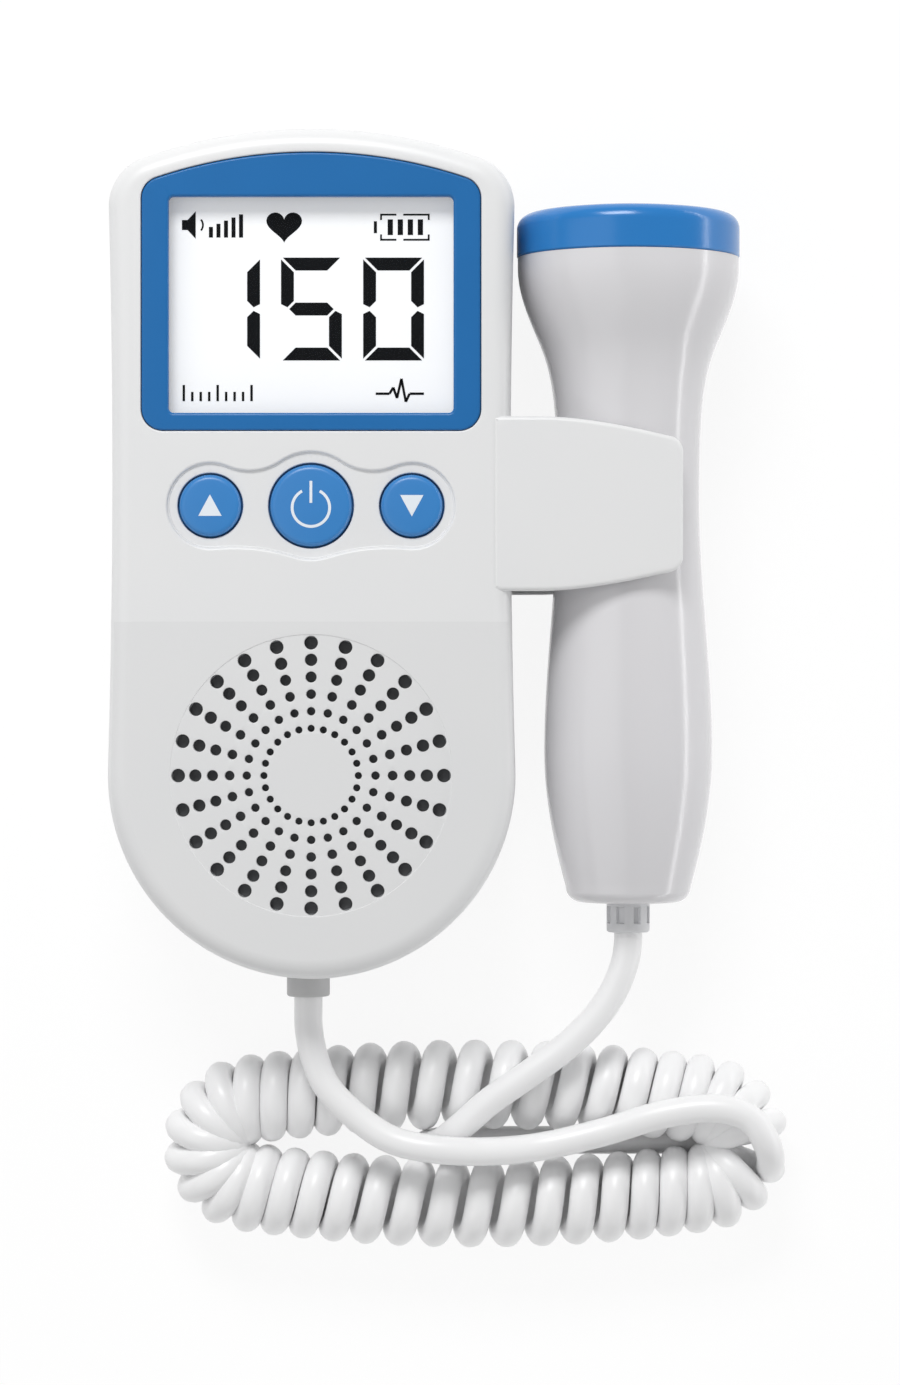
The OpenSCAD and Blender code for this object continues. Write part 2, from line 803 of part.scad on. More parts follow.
module speaker_basket() {
    depth = speaker_top_z - magnet_top_z;
    color(steel)
        at_datum()
            translate([0, speaker_y, magnet_top_z])
                difference() {
                    rotate_extrude()
                        polygon([[5, 0], [magnet_r, 0], [magnet_r + 3, 0.8],
                                 [speaker_r - 3, depth - basket_t], [speaker_r, depth - basket_t],
                                 [speaker_r, depth], [speaker_r - 4, depth], [speaker_r - 4, depth - 0.6],
                                 [magnet_r + 2, 1.6], [magnet_r - 0.5, basket_t], [5, basket_t]]);
                    for (a = [0:60:300])
                        rotate([0, 0, a])
                            translate([(magnet_r + speaker_r) / 2 - 0.5, 0, -1])
                                cylinder(h = depth + 2, r = 2);
                }
}

module speaker_cone() {
    top = speaker_top_z - 0.6 - magnet_top_z;
    color("#3a3a3c")
        at_datum()
            translate([0, speaker_y, magnet_top_z])
                rotate_extrude()
                    polygon([[0, 1.4], [coil_r, 1.4], [coil_r + 0.5, 2.6], [speaker_r - 6, top - 0.4],
                             [speaker_r - 4.1, top + 0.1], [speaker_r - 4.1, top + 0.5],
                             [speaker_r - 6.4, top + 0.3], [coil_r + 0.7, 3.6], [coil_r / 2, 4.4], [0, 4.6]]);
}

module speaker_magnet() {
    color("#55585c")
        at_datum()
            translate([0, speaker_y, magnet_low_z])
                cylinder(h = magnet_top_z - magnet_low_z, r = magnet_r - 0.5);
}

// Cloth on the speaker's rim, close behind the holes.
module speaker_cloth() {
    color("#2c2d2f")
        at_datum()
            translate([0, speaker_y, speaker_top_z + fit])
                cylinder(h = cloth_t, r = speaker_r - 0.7 - slip);
}

// Two cells side by side, the right one upside down, each with its raised contact.
module battery_cells() {
    nub = 1;
    low = bay_low_y + spring_room - 1;
    color("#6f767d")
        at_datum()
            for (side = [-1, 1])
                translate([side * (cell_d / 2 + 0.1), side < 0 ? low : low + cell_l, cell_z])
                    rotate([side < 0 ? -90 : 90, 0, 0]) {
                        cylinder(h = cell_l - nub, d = cell_d);
                        cylinder(h = cell_l, d = 5.4);
                    }
}

// Sheet contacts: a flat plate at each end and a bent leaf that presses each cell.
module battery_contacts() {
    sheet = 0.4;
    leaf = spring_room - 1 - sheet;
    color(steel)
        at_datum()
            for (side = [-1, 1])
                translate([side * (cell_d / 2 + 0.1), 0, cell_z]) {
                    translate([-4.5, bay_low_y, -5])
                        cube([9, sheet, 10]);
                    translate([0, bay_low_y + sheet, -4])
                        rotate([0, 90, 0])
                            linear_extrude(5, center = true)
                                polygon([[0, 0], [0.9, 0], [-3.1, leaf], [-7.2, leaf - 1.6],
                                         [-7.2, leaf - 2.05], [-3.3, leaf - 0.5]]);
                    translate([-4.5, bay_top_y - sheet, -5])
                        cube([9, sheet, 10]);
                    translate([0, bay_low_y + spring_room - 1 + cell_l, 0])
                        rotate([-90, 0, 0])
                            cylinder(h = bay_top_y - sheet - bay_low_y - spring_room + 1 - cell_l, r = 2.2);
                }
}

// Sliding door over the bay, with a grooved thumb pad on its outside.
module battery_door() {
    color(white)
        at_datum()
            difference() {
                union() {
                    intersection() {
                        case_form(0, 0, split_z, 0, back_edge_r);
                        door_block(0);
                    }
                    intersection() {
                        door_tabs(0, 0, tab_z, tab_z + tab_t);
                        translate([-case_w, -case_h, 0])
                            cube([2 * case_w, 2 * case_h, door_t]);
                    }
                }
                for (i = [0:4])
                    translate([0, door_top_y - 8 - i * 2.2, 0])
                        rotate([0, 90, 0])
                            cylinder(h = 14 - i * 1.6, r = 0.6, center = true, $fn = 24);
            }
}

module case_screws() {
    color(steel)
        at_datum()
            for (s = screws)
                translate([s[0], s[1], screw_head_z + 1.9 - 1.8])
                    difference() {
                        union() {
                            cylinder(h = 1.8, r = screw_head_r);
                            cylinder(h = s[3] + screw_l - screw_head_z - 0.2, r = screw_r);
                        }
                        for (a = [0, 90])
                            rotate([0, 0, a])
                                translate([-1.5, -0.3, -1])
                                    cube([3, 0.6, 1.9]);
                    }
}

// Sleeve through a wall: a collar outside, a neck in the hole and a flange inside, bored for the cord.
// Slots around the collar let it bend.
module sleeve(collar_l, neck_l, slots = 0) {
    difference() {
        union() {
            rotate_extrude()
                rim_section(0, gland_d / 2, 0, collar_l, 0.4, 0);
            translate([0, 0, -neck_l - 0.1])
                cylinder(h = neck_l + 0.2, d = gland_d - 1.2);
            translate([0, 0, -neck_l - 1.4])
                cylinder(h = 1.3, d = gland_d + 1.2);
        }
        translate([0, 0, -neck_l - 3])
            cylinder(h = neck_l + 2, d = 2.4);
        if (slots > 0)
            for (k = [0:slots - 1])
                rotate([0, 0, (k + 0.5) * 360 / slots])
                    translate([gland_d / 2 - slot_depth, -slot_w / 2, 0.8])
                        cube([gland_d, slot_w, collar_l - 2.4]);
    }
}

module unit_gland() {
    color(grey)
        at_datum()
            translate([gland_x, -case_h / 2, gland_z])
                rotate([90, 0, 0])
                    sleeve(gland_l, wall + 0.7);
}

// Half of the probe's moulded body, hollow, from the tail to the seat of the face cap.
module probe_half(front) {
    inner_low = probe_wall;
    intersection() {
        difference() {
            rotate_extrude() {
                polygon(concat([[0, 0], [tail_r - tail_round, 0]],
                               flank_points(0, tail_round, cap_low, 40),
                               [[0, cap_low]]));
                translate([tail_r - tail_round, tail_round])
                    circle(tail_round);
            }
            rotate_extrude()
                polygon(concat([[0, inner_low], [tail_r - tail_round, inner_low]],
                               flank_points(probe_wall, tail_round + probe_wall, cap_low + 0.01, 30),
                               [[0, cap_low + 0.01]]));
            translate([0, 0, -1])
                cylinder(h = probe_wall + 2, d = gland_d - 1.2 + 2 * fit);
        }
        translate([-case_w, front ? -2 * case_w : 0, -1])
            cube([2 * case_w, 2 * case_w, probe_l]);
    }
}

// Places what is drawn along the probe's axis.
module along_probe() {
    at_datum()
        translate([probe_x, probe_low_y, probe_z])
            rotate([-90, 0, 0])
                children();
}

module probe_front_shell() {
    color(white)
        along_probe()
            probe_half(true);
}

module probe_rear_shell() {
    color("#dcdcdc")
        along_probe()
            probe_half(false);
}

// Blue face: a shallow dome with a round rim and a spigot that seats in the head.
module probe_face() {
    rim = cap_h - cap_crown;
    dome_r = (cap_r * cap_r + cap_crown * cap_crown) / (2 * cap_crown);
    color(blue)
        along_probe()
            translate([0, 0, cap_low]) {
                rotate_extrude()
                    intersection() {
                        rim_section(0, cap_r, 0, cap_h, cap_crown + 1.2, 0);
                        translate([0, cap_h - dome_r])
                            circle(dome_r, $fn = 360);
                    }
                difference() {
                    translate([0, 0, -4])
                        cylinder(h = 4.5, r = head_r - probe_wall - 0.6);
                    translate([0, 0, -5])
                        cylinder(h = 5, r = head_r - probe_wall - 2.4);
                }
            }
}

// Two half-round ceramic plates glued behind the face: one sends, one listens.
module probe_crystals() {
    color("#c8b48a")
        along_probe()
            translate([0, 0, cap_low - crystal_t])
                for (side = [0, 180])
                    rotate([0, 0, side])
                        intersection() {
                            cylinder(h = crystal_t, r = crystal_r);
                            translate([-crystal_r, 0.5, -crystal_t])
                                cube([2 * crystal_r, crystal_r, 3 * crystal_t]);
                        }
}

// Damping block behind the crystals.
module probe_backing() {
    color("#4b4238")
        along_probe()
            translate([0, 0, backing_low])
                cylinder(h = backing_l, r = head_r - probe_wall - 3.4);
}

module probe_board() {
    length = backing_low - stations[1][0] - 7;
    color(board_green)
        along_probe()
            translate([0, 0, backing_low - length])
                linear_extrude(length)
                    square([2 * (neck_r - probe_wall) - 1, board_t], center = true);
}

module probe_gland() {
    color("#d2d3d5")
        along_probe()
            mirror([0, 0, 1])
                sleeve(probe_gland_l, probe_wall + 0.2, gland_slots);
}

// Route of the lead from the unit, over the rear row of the ring and round to its right-hand end.
main_route = [[-1, -71.5, 16], [-1, -73, 16], [-0.9, -77, 16.4], [0.2, -82, 17.2], [2.6, -86.8, 17.4],
              [7.4, -91.4, 17.5], [13, -94.8, 18.2], [20.4, -96.2, 18.8], [28.6, -96.6, 17.3],
              [37, -96, 15.4], [46.6, -93.8, 15.4], [56.2, -90.8, 16.7], [64.5, -89.6, 17.4],
              [70.4, -91, 17.5], [73.2, -94.6, 17.4]];
// Route of the lead from the probe, down between the rows and along the table to the ring's inner end.
probe_route = [[50.95, -60.95, 18.15], [50.95, -62.5, 18.15], [50.4, -66, 18], [48.6, -70.6, 17.6],
               [45.4, -75.2, 17.4], [40.6, -79.8, 17.4], [34.6, -84.2, 17.5], [28.6, -88.4, 17.2],
               [24.4, -92.2, 15.9], [21.4, -95, 13.2], [19.4, -96.3, 9.8], [18.4, -96.4, 6.6],
               [19, -96.4, 3.8], [21.6, -96.4, 2.4], [28, -96.4, 2.3], [38, -96.4, 2.3], [48, -96.4, 2.3],
               [57, -96.4, 2.3], [64, -96.4, 2.3]];
lead_sides = 10;

// Direction of a route at point i.
function heading(p, i) =
    let (v = p[min(i + 1, len(p) - 1)] - p[max(i - 1, 0)])
    v / norm(v);
// Side vector at each point, turned as little as possible from the one before.
function side_at(p, i) =
    let (t = heading(p, i),
         last = i == 0 ? [0, 0, 1] : side_at(p, i - 1),
         flat = last - (last * t) * t)
    flat / norm(flat);

module lead(route) {
    rows = [for (i = [0:len(route) - 1])
                let (t = heading(route, i), u = side_at(route, i), v = cross(t, u))
                [for (k = [0:lead_sides - 1])
                    let (a = 360 * (k + 0.5) / lead_sides)
                    route[i] + lead_r * (cos(a) * u + sin(a) * v)]];
    points = [for (row = rows) each row];
    last = (len(route) - 1) * lead_sides;
    sides = [for (i = [0:len(route) - 2], k = [0:lead_sides - 1])
                let (a = i * lead_sides + k, b = i * lead_sides + (k + 1) % lead_sides)
                each [[a, b, b + lead_sides], [a, b + lead_sides, a + lead_sides]]];
    ends = [[for (k = [0:lead_sides - 1]) lead_sides - 1 - k], [for (k = [0:lead_sides - 1]) last + k]];
    polyhedron(points, concat(sides, ends));
}

module lead_main() {
    color("#ececec")
        at_datum()
            lead(main_route);
}

module lead_probe() {
    color("#ececec")
        at_datum()
            lead(probe_route);
}

// Stretch of the curl along an arc.
module curl_arc(centre, r, start, sweep, steps) {
    translate(centre)
        rotate([0, 0, start])
            rotate_extrude(angle = sweep, $fn = steps * 360 / sweep)
                translate([r, 0])
                    circle(curl_r, $fn = 48);
}

// The ring of curly cord, flattened into two long rows.
module coil_cord() {
    color("#ececec")
        at_datum()
            translate([ring_x, ring_y, curl_r])
                for (side = [0, 180])
                    rotate([0, 0, side]) {
                        curl_arc([0, row_gap / 2 - row_r], row_r, 90 - row_a, 2 * row_a, 16);
                        curl_arc([ring_l / 2 - ring_end_r, 0], ring_end_r, row_a - 90, 180 - 2 * row_a, 20);
                    }
}

front_shell();
rear_shell();
display_bezel();
display_lens();
lcd_glass();
lcd_frame();
keypad_mat();
dome_up();
dome_power();
dome_down();
button_up();
button_power();
button_down();
main_board();
board_parts();
speaker_basket();
speaker_cone();
speaker_magnet();
speaker_cloth();
battery_cells();
battery_contacts();
battery_door();
case_screws();
unit_gland();
probe_front_shell();
probe_rear_shell();
probe_face();
probe_crystals();
probe_backing();
probe_board();
probe_gland();
lead_main();
coil_cord();
lead_probe();
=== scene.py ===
from math import asin, atan2, ceil, cos, degrees, hypot, pi, radians, sin, sqrt

import bmesh
import bpy
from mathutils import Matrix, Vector
from mathutils.geometry import delaunay_2d_cdt


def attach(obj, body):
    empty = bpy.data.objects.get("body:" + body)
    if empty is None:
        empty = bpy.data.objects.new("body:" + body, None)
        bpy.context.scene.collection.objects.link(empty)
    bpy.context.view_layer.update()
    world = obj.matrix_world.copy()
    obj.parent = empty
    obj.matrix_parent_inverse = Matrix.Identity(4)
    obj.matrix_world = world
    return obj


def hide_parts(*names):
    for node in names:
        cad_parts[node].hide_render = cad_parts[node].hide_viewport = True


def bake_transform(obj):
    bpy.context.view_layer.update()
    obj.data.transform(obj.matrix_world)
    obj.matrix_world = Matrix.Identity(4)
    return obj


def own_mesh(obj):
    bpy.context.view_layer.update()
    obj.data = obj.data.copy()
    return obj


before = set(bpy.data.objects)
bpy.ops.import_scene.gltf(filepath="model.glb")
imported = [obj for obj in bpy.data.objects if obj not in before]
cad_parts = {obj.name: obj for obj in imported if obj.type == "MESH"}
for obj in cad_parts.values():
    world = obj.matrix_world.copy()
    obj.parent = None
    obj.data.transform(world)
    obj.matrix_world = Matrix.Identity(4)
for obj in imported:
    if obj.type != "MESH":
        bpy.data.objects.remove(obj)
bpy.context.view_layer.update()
scene = bpy.context.scene
unit = "display_unit"
print("frame loaded")

# Every piece is drawn in millimetres from the middle of the case, then moved to the frame's origin.
frameOrigin = (18.25, -1.85)


def inFrame(p):
    return Vector((p[0] - frameOrigin[0], p[1] - frameOrigin[1], p[2])) / 1000


# Camera: straight above the front face, as the photograph is taken.
cameraSet = {"place": (22.05, -22.05, 673), "lens": 104.9, "sensor": 36}

cameraData = bpy.data.cameras.new("camera")
cameraData.lens = cameraSet["lens"]
cameraData.sensor_width = cameraSet["sensor"]
cameraData.clip_start = 0.01
camera = bpy.data.objects.new("camera", cameraData)
camera.location = inFrame(cameraSet["place"])
scene.collection.objects.link(camera)
scene.camera = camera

# Cord. The leads follow the same points as the part's own leads.
cord = {
    "wire": 4.6,
    "curl": 14.8,
    "rowGap": 19.5,  # between the two rows at the ring's middle
    "ringLength": 88.5,
    "endR": 7.2,
    "ringCentre": (26.4, -96.4),
    "pitch": 5.15,
    "degreesPerTurn": 25,
    "spread": 0.13,  # how much wider the turns stand in the middle of a row
    "pointsPerTurn": 22,
    "sides": 20,
    "unitStep": 2,  # longest step along each lead's line
    "probeStep": 1.5,
    "firstPhase": 60,  # where round the curl the first turn starts
    "firstBend": -18,  # where on the right-hand bend it starts
    "lastBend": 10,
    "lead": [
        (-1, -68.6, 16), (-1, -71.5, 16), (-1, -73, 16), (-0.9, -77, 16.4), (0.2, -82, 17.2),
        (2.6, -86.8, 17.4), (7.4, -91.4, 17.5), (13, -94.8, 18.2), (20.4, -96.2, 18.8), (28.6, -96.6, 17.3),
        (37, -96, 15.4), (46.6, -93.8, 15.4), (56.2, -90.8, 16.7), (64.5, -89.6, 17.4), (70.4, -91, 17.5),
        (73.2, -94.6, 17.4), (74.4, -98, 14.6),
    ],
    "valley": [
        (67.4, -95.6, 2.3), (64, -96.4, 2.3), (57, -96.4, 2.3), (48, -96.4, 2.3), (38, -96.4, 2.3),
        (28, -96.4, 2.3), (23.4, -96.4, 2.5), (20.4, -96.4, 3.9), (18.6, -96.4, 6.2), (18.4, -96.4, 7.6),
    ],
    "probeLead": [
        (18.4, -96.4, 7.6), (19.4, -96.3, 10.2), (21.4, -95, 13.2), (24.4, -92.2, 15.9), (28.6, -88.4, 17.2),
        (34.6, -84.2, 17.5), (40.6, -79.8, 17.4), (45.4, -75.2, 17.4), (48.6, -70.6, 17.6), (50.4, -66, 18),
        (50.95, -62.5, 18.15), (50.95, -60.95, 18.15), (50.95, -58, 18.15),
    ],
}


# One smooth line through the points.
def smoothLine(points, step):
    line = []
    for i in range(len(points) - 1):
        before, start = points[max(i - 1, 0)], points[i]
        end, after = points[i + 1], points[min(i + 2, len(points) - 1)]
        count = max(1, ceil((end - start).length / step))
        for k in range(count):
            t = k / count
            line.append((2 * start + (end - before) * t + (2 * before - 5 * start + 4 * end - after) * t * t
                         + (3 * start - before - 3 * end + after) * t ** 3) / 2)
    return line + [points[-1]]


# The curl winds clockwise round the ring: front row to the left, back along the rear row.
# The rows bow outwards on arcs that touch the arcs of the two ends.
def curlPoints():
    cx, cy = cord["ringCentre"]
    bend, half, endR = cord["rowGap"] / 2, cord["ringLength"] / 2, cord["endR"]
    rowR = (half ** 2 - 2 * half * endR + bend ** 2) / (2 * (bend - endR))
    rowA = degrees(asin((half - endR) / (rowR - endR)))
    reach = (cord["curl"] - cord["wire"]) / 2
    rowTurns = 2 * rowR * radians(rowA) / cord["pitch"]
    first, last, sweep = cord["firstBend"], cord["lastBend"], cord["degreesPerTurn"]
    right, left = (cx + half - endR, cy), (cx - half + endR, cy)
    legs = [  # centre, radius, angles and turns of each arc
        (right, endR, first, rowA - 90, (first + 90 - rowA) / sweep),
        ((cx, cy - bend + rowR), rowR, rowA - 90, -90 - rowA, rowTurns),
        (left, endR, -90 - rowA, rowA - 270, (180 - 2 * rowA) / sweep),
        ((cx, cy + bend - rowR), rowR, 90 + rowA, 90 - rowA, rowTurns),
        (right, endR, 90 - rowA, last, (90 - rowA - last) / sweep),
    ]
    total = sum(leg[-1] for leg in legs)
    endPhase = 0.5 - cord["firstPhase"] / 360
    fit = (round(total - endPhase) + endPhase) / total  # the last turn ends underneath
    points, phase = [], cord["firstPhase"] / 360
    for (x, y), r, start, end, turns in legs:
        spread = cord["spread"] if r == rowR else 0
        count = round(turns * cord["pointsPerTurn"])
        for k in range(count):
            t = k / count
            angle = radians(start + (end - start) * (t - spread * sin(2 * pi * t) / (2 * pi)))
            turn = 2 * pi * (phase + turns * fit * t)
            out = r + reach * sin(turn)
            points.append(Vector((x + out * cos(angle), y + out * sin(angle),
                                  cord["curl"] / 2 + reach * cos(turn))))
        phase += turns * fit
    return points


def lengthOf(line):
    return sum((b - a).length for a, b in zip(line, line[1:])) / 1000


unitPoints = [Vector(p) for p in cord["lead"]] + curlPoints() + [Vector(p) for p in cord["valley"]]
unitLine = smoothLine(unitPoints, cord["unitStep"])
probeLine = smoothLine([Vector(p) for p in cord["probeLead"]], cord["probeStep"])
print("cord lengths", round(lengthOf(unitLine), 3), round(lengthOf(probeLine), 3))


# Mesh helpers. Loops run anticlockwise and are lists of x, y pairs.
def arcPoints(cx, cy, r, start, end, count):
    angles = [radians(start + (end - start) * i / count) for i in range(count)]
    return [(cx + r * cos(a), cy + r * sin(a)) for a in angles]


def circleLoop(cx, cy, r, count=48):
    return arcPoints(cx, cy, r, 0, 360, count)


def roundRect(cx, cy, w, h, r, count=8):
    loop = []
    for sx, sy, start in ((1, -1, -90), (1, 1, 0), (-1, 1, 90), (-1, -1, 180)):
        px, py = cx + sx * (w / 2 - r), cy + sy * (h / 2 - r)
        angles = [radians(start + 90 * i / count) for i in range(count + 1)]
        loop += [(px + r * cos(a), py + r * sin(a)) for a in angles]
    return loop


# A loop with points no further apart than step.
def refine(loop, step):
    fine = []
    for (ax, ay), (bx, by) in zip(loop, loop[1:] + loop[:1]):
        count = max(1, ceil(hypot(bx - ax, by - ay) / step))
        fine += [(ax + (bx - ax) * k / count, ay + (by - ay) * k / count) for k in range(count)]
    return fine


# The loop moved outwards by d along its own normals.
def grow(loop, d):
    moved, n = [], len(loop)
    for i in range(n):
        (ax, ay), (bx, by), (cx, cy) = loop[i - 1], loop[i], loop[(i + 1) % n]
        ux, uy = bx - ax, by - ay
        vx, vy = cx - bx, cy - by
        lu, lv = hypot(ux, uy) or 1, hypot(vx, vy) or 1
        nx, ny = uy / lu + vy / lv, -ux / lu - vx / lv
        size = max(nx * nx + ny * ny, 0.4)
        moved.append((bx + 2 * d * nx / size, by + 2 * d * ny / size))
    return moved


def ring(bm, loop, z):
    return [bm.verts.new((x, y, z)) for x, y in loop]


def bridge(bm, a, b):
    n = len(a)
    for i in range(n):
        bm.faces.new((a[i], a[(i + 1) % n], b[(i + 1) % n], b[i]))


def boxIn(bm, low, high):
    loop = [(low[0], low[1]), (high[0], low[1]), (high[0], high[1]), (low[0], high[1])]
    a, b = ring(bm, loop, low[2]), ring(bm, loop, high[2])
    bridge(bm, a, b)
    bm.faces.new(a)
    bm.faces.new(b)


def inside(x, y, loop):
    hit = False
    for (ax, ay), (bx, by) in zip(loop, loop[1:] + loop[:1]):
        if (ay > y) != (by > y) and x < ax + (y - ay) * (bx - ax) / (by - ay):
            hit = not hit
    return hit


# Flat panel between an outer ring and the rings of its holes, with extra points inside it.
def fillPanel(bm, outer, holes=(), extra=()):
    rings = [outer, *holes]
    verts, owner, edges = [], [], []
    for index, r in enumerate(rings):
        start = len(verts)
        verts += r
        owner += [index] * len(r)
        edges += [(start + i, start + (i + 1) % len(r)) for i in range(len(r))]
    z = sum(v.co.z for v in outer) / len(outer)
    for x, y in extra:
        verts.append(bm.verts.new((x, y, z)))
        owner.append(-1)
    loops = [[(v.co.x, v.co.y) for v in r] for r in rings]
    places, _, faces, origins, _, _ = delaunay_2d_cdt([v.co.xy for v in verts], edges, [], 0, 1e-5)
    index = [o[0] if o else None for o in origins]
    for face in faces:
        chosen = [index[i] for i in face]
        if None in chosen or len(set(chosen)) < 3:
            continue
        owners = {owner[i] for i in chosen}
        if len(owners) == 1 and owners != {-1}:
            x = sum(places[i].x for i in face) / 3
            y = sum(places[i].y for i in face) / 3
            r = owners.pop()
            if inside(x, y, loops[r]) == (r > 0):
                continue
        bm.faces.new([verts[i] for i in chosen])


# Rings that round an edge from a flat panel at z down its side. The last one is the wall itself.
def roundedEdge(bm, loop, z, r, way, steps=4, down=1):
    rings = []
    for k in range(steps + 1):
        a = pi / 2 * k / steps
        rings.append(ring(bm, grow(loop, way * r * (1 - sin(a))), z - down * r * (1 - cos(a))))
    for a, b in zip(rings, rings[1:]):
        bridge(bm, a, b)
    return rings


# Turns a profile of radius and height round an axis through x, y, at count even angles or at those given.
# shape may change each radius.
def turned(bm, profile, x=0, y=0, count=64, shape=None, angles=None):
    rings = []
    angles = angles or [2 * pi * i / count for i in range(count)]
    count = len(angles)
    for r, z in profile:
        if r <= 0:
            rings.append([bm.verts.new((x, y, z))])
            continue
        made = []
        for a in angles:
            rr = shape(r, z, a) if shape else r
            made.append(bm.verts.new((x + rr * cos(a), y + rr * sin(a), z)))
        rings.append(made)
    for a, b in zip(rings, rings[1:]):
        if len(a) == 1 or len(b) == 1:
            tip, rim = (a, b) if len(a) == 1 else (b, a)
            for i in range(count):
                bm.faces.new((tip[0], rim[i], rim[(i + 1) % count]))
        else:
            bridge(bm, a, b)
    return rings


def roundedProfile(r, z, edge, steps=5, down=1):
    return [(r - edge * (1 - sin(pi / 2 * k / steps)), z - down * edge * (1 - cos(pi / 2 * k / steps)))
            for k in range(steps + 1)]


# Makes the object: faces outwards, smooth except at real edges, and rides on its body.
def makePiece(name, bm, finish, body, replaced=(), sharp=34):
    bmesh.ops.remove_doubles(bm, verts=bm.verts, dist=0.0005)
    bmesh.ops.recalc_face_normals(bm, faces=bm.faces)
    for v in bm.verts:
        v.co = inFrame(v.co)
    mesh = bpy.data.meshes.new(name)
    bm.to_mesh(mesh)
    bm.free()
    for face in mesh.polygons:
        face.use_smooth = True
    mesh.set_sharp_from_angle(angle=radians(sharp))
    piece = bpy.data.objects.new(name, mesh)
    scene.collection.objects.link(piece)
    mesh.materials.append(finish)
    normals = piece.modifiers.new("evenNormals", "WEIGHTED_NORMAL")
    normals.keep_sharp = True
    if body:
        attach(piece, body)
    if replaced:
        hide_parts(*replaced)
    return piece


# Materials.
def linear(colour):
    values = [int(colour[i:i + 2], 16) / 255 for i in (1, 3, 5)]
    return (*[v / 12.92 if v <= 0.04045 else ((v + 0.055) / 1.055) ** 2.4 for v in values], 1)


def addNode(tree, kind, inputs=None, **settings):
    node = tree.nodes.new("ShaderNode" + kind)
    for key, value in settings.items():
        setattr(node, key, value)
    for key, value in (inputs or {}).items():
        if isinstance(value, bpy.types.NodeSocket):
            tree.links.new(value, node.inputs[key])
        else:
            node.inputs[key].default_value = value
    return node


# A finish with a fine surface grain and a slight drift of its colour.
# grain and drift are sizes in millimetres, depth is the grain's height in millimetres.
def makeFinish(name, colour, second, roughness, grain=0.4, depth=0.006, drift=12, ior=1.5, **shader):
    material = bpy.data.materials.new(name)
    material.use_nodes = True
    tree = material.node_tree
    tree.nodes.clear()
    place = addNode(tree, "TexCoord").outputs["Object"]
    broad = addNode(tree, "TexNoise", {"Vector": place, "Scale": 1000 / drift, "Detail": 3.0})
    fine = addNode(tree, "TexNoise", {"Vector": place, "Scale": 1000 / grain, "Detail": 2.0})
    tone = addNode(tree, "Mix", {0: broad.outputs["Fac"], 6: linear(colour), 7: linear(second)},
                   data_type="RGBA")
    bump = addNode(tree, "Bump", {"Height": fine.outputs["Fac"], "Distance": depth / 1000, "Strength": 1.0})
    surface = addNode(tree, "BsdfPrincipled", {
        "Base Color": tone.outputs[2], "Normal": bump.outputs["Normal"],
        "Roughness": roughness, "IOR": ior, **shader})
    addNode(tree, "OutputMaterial", {"Surface": surface.outputs["BSDF"]})
    return material


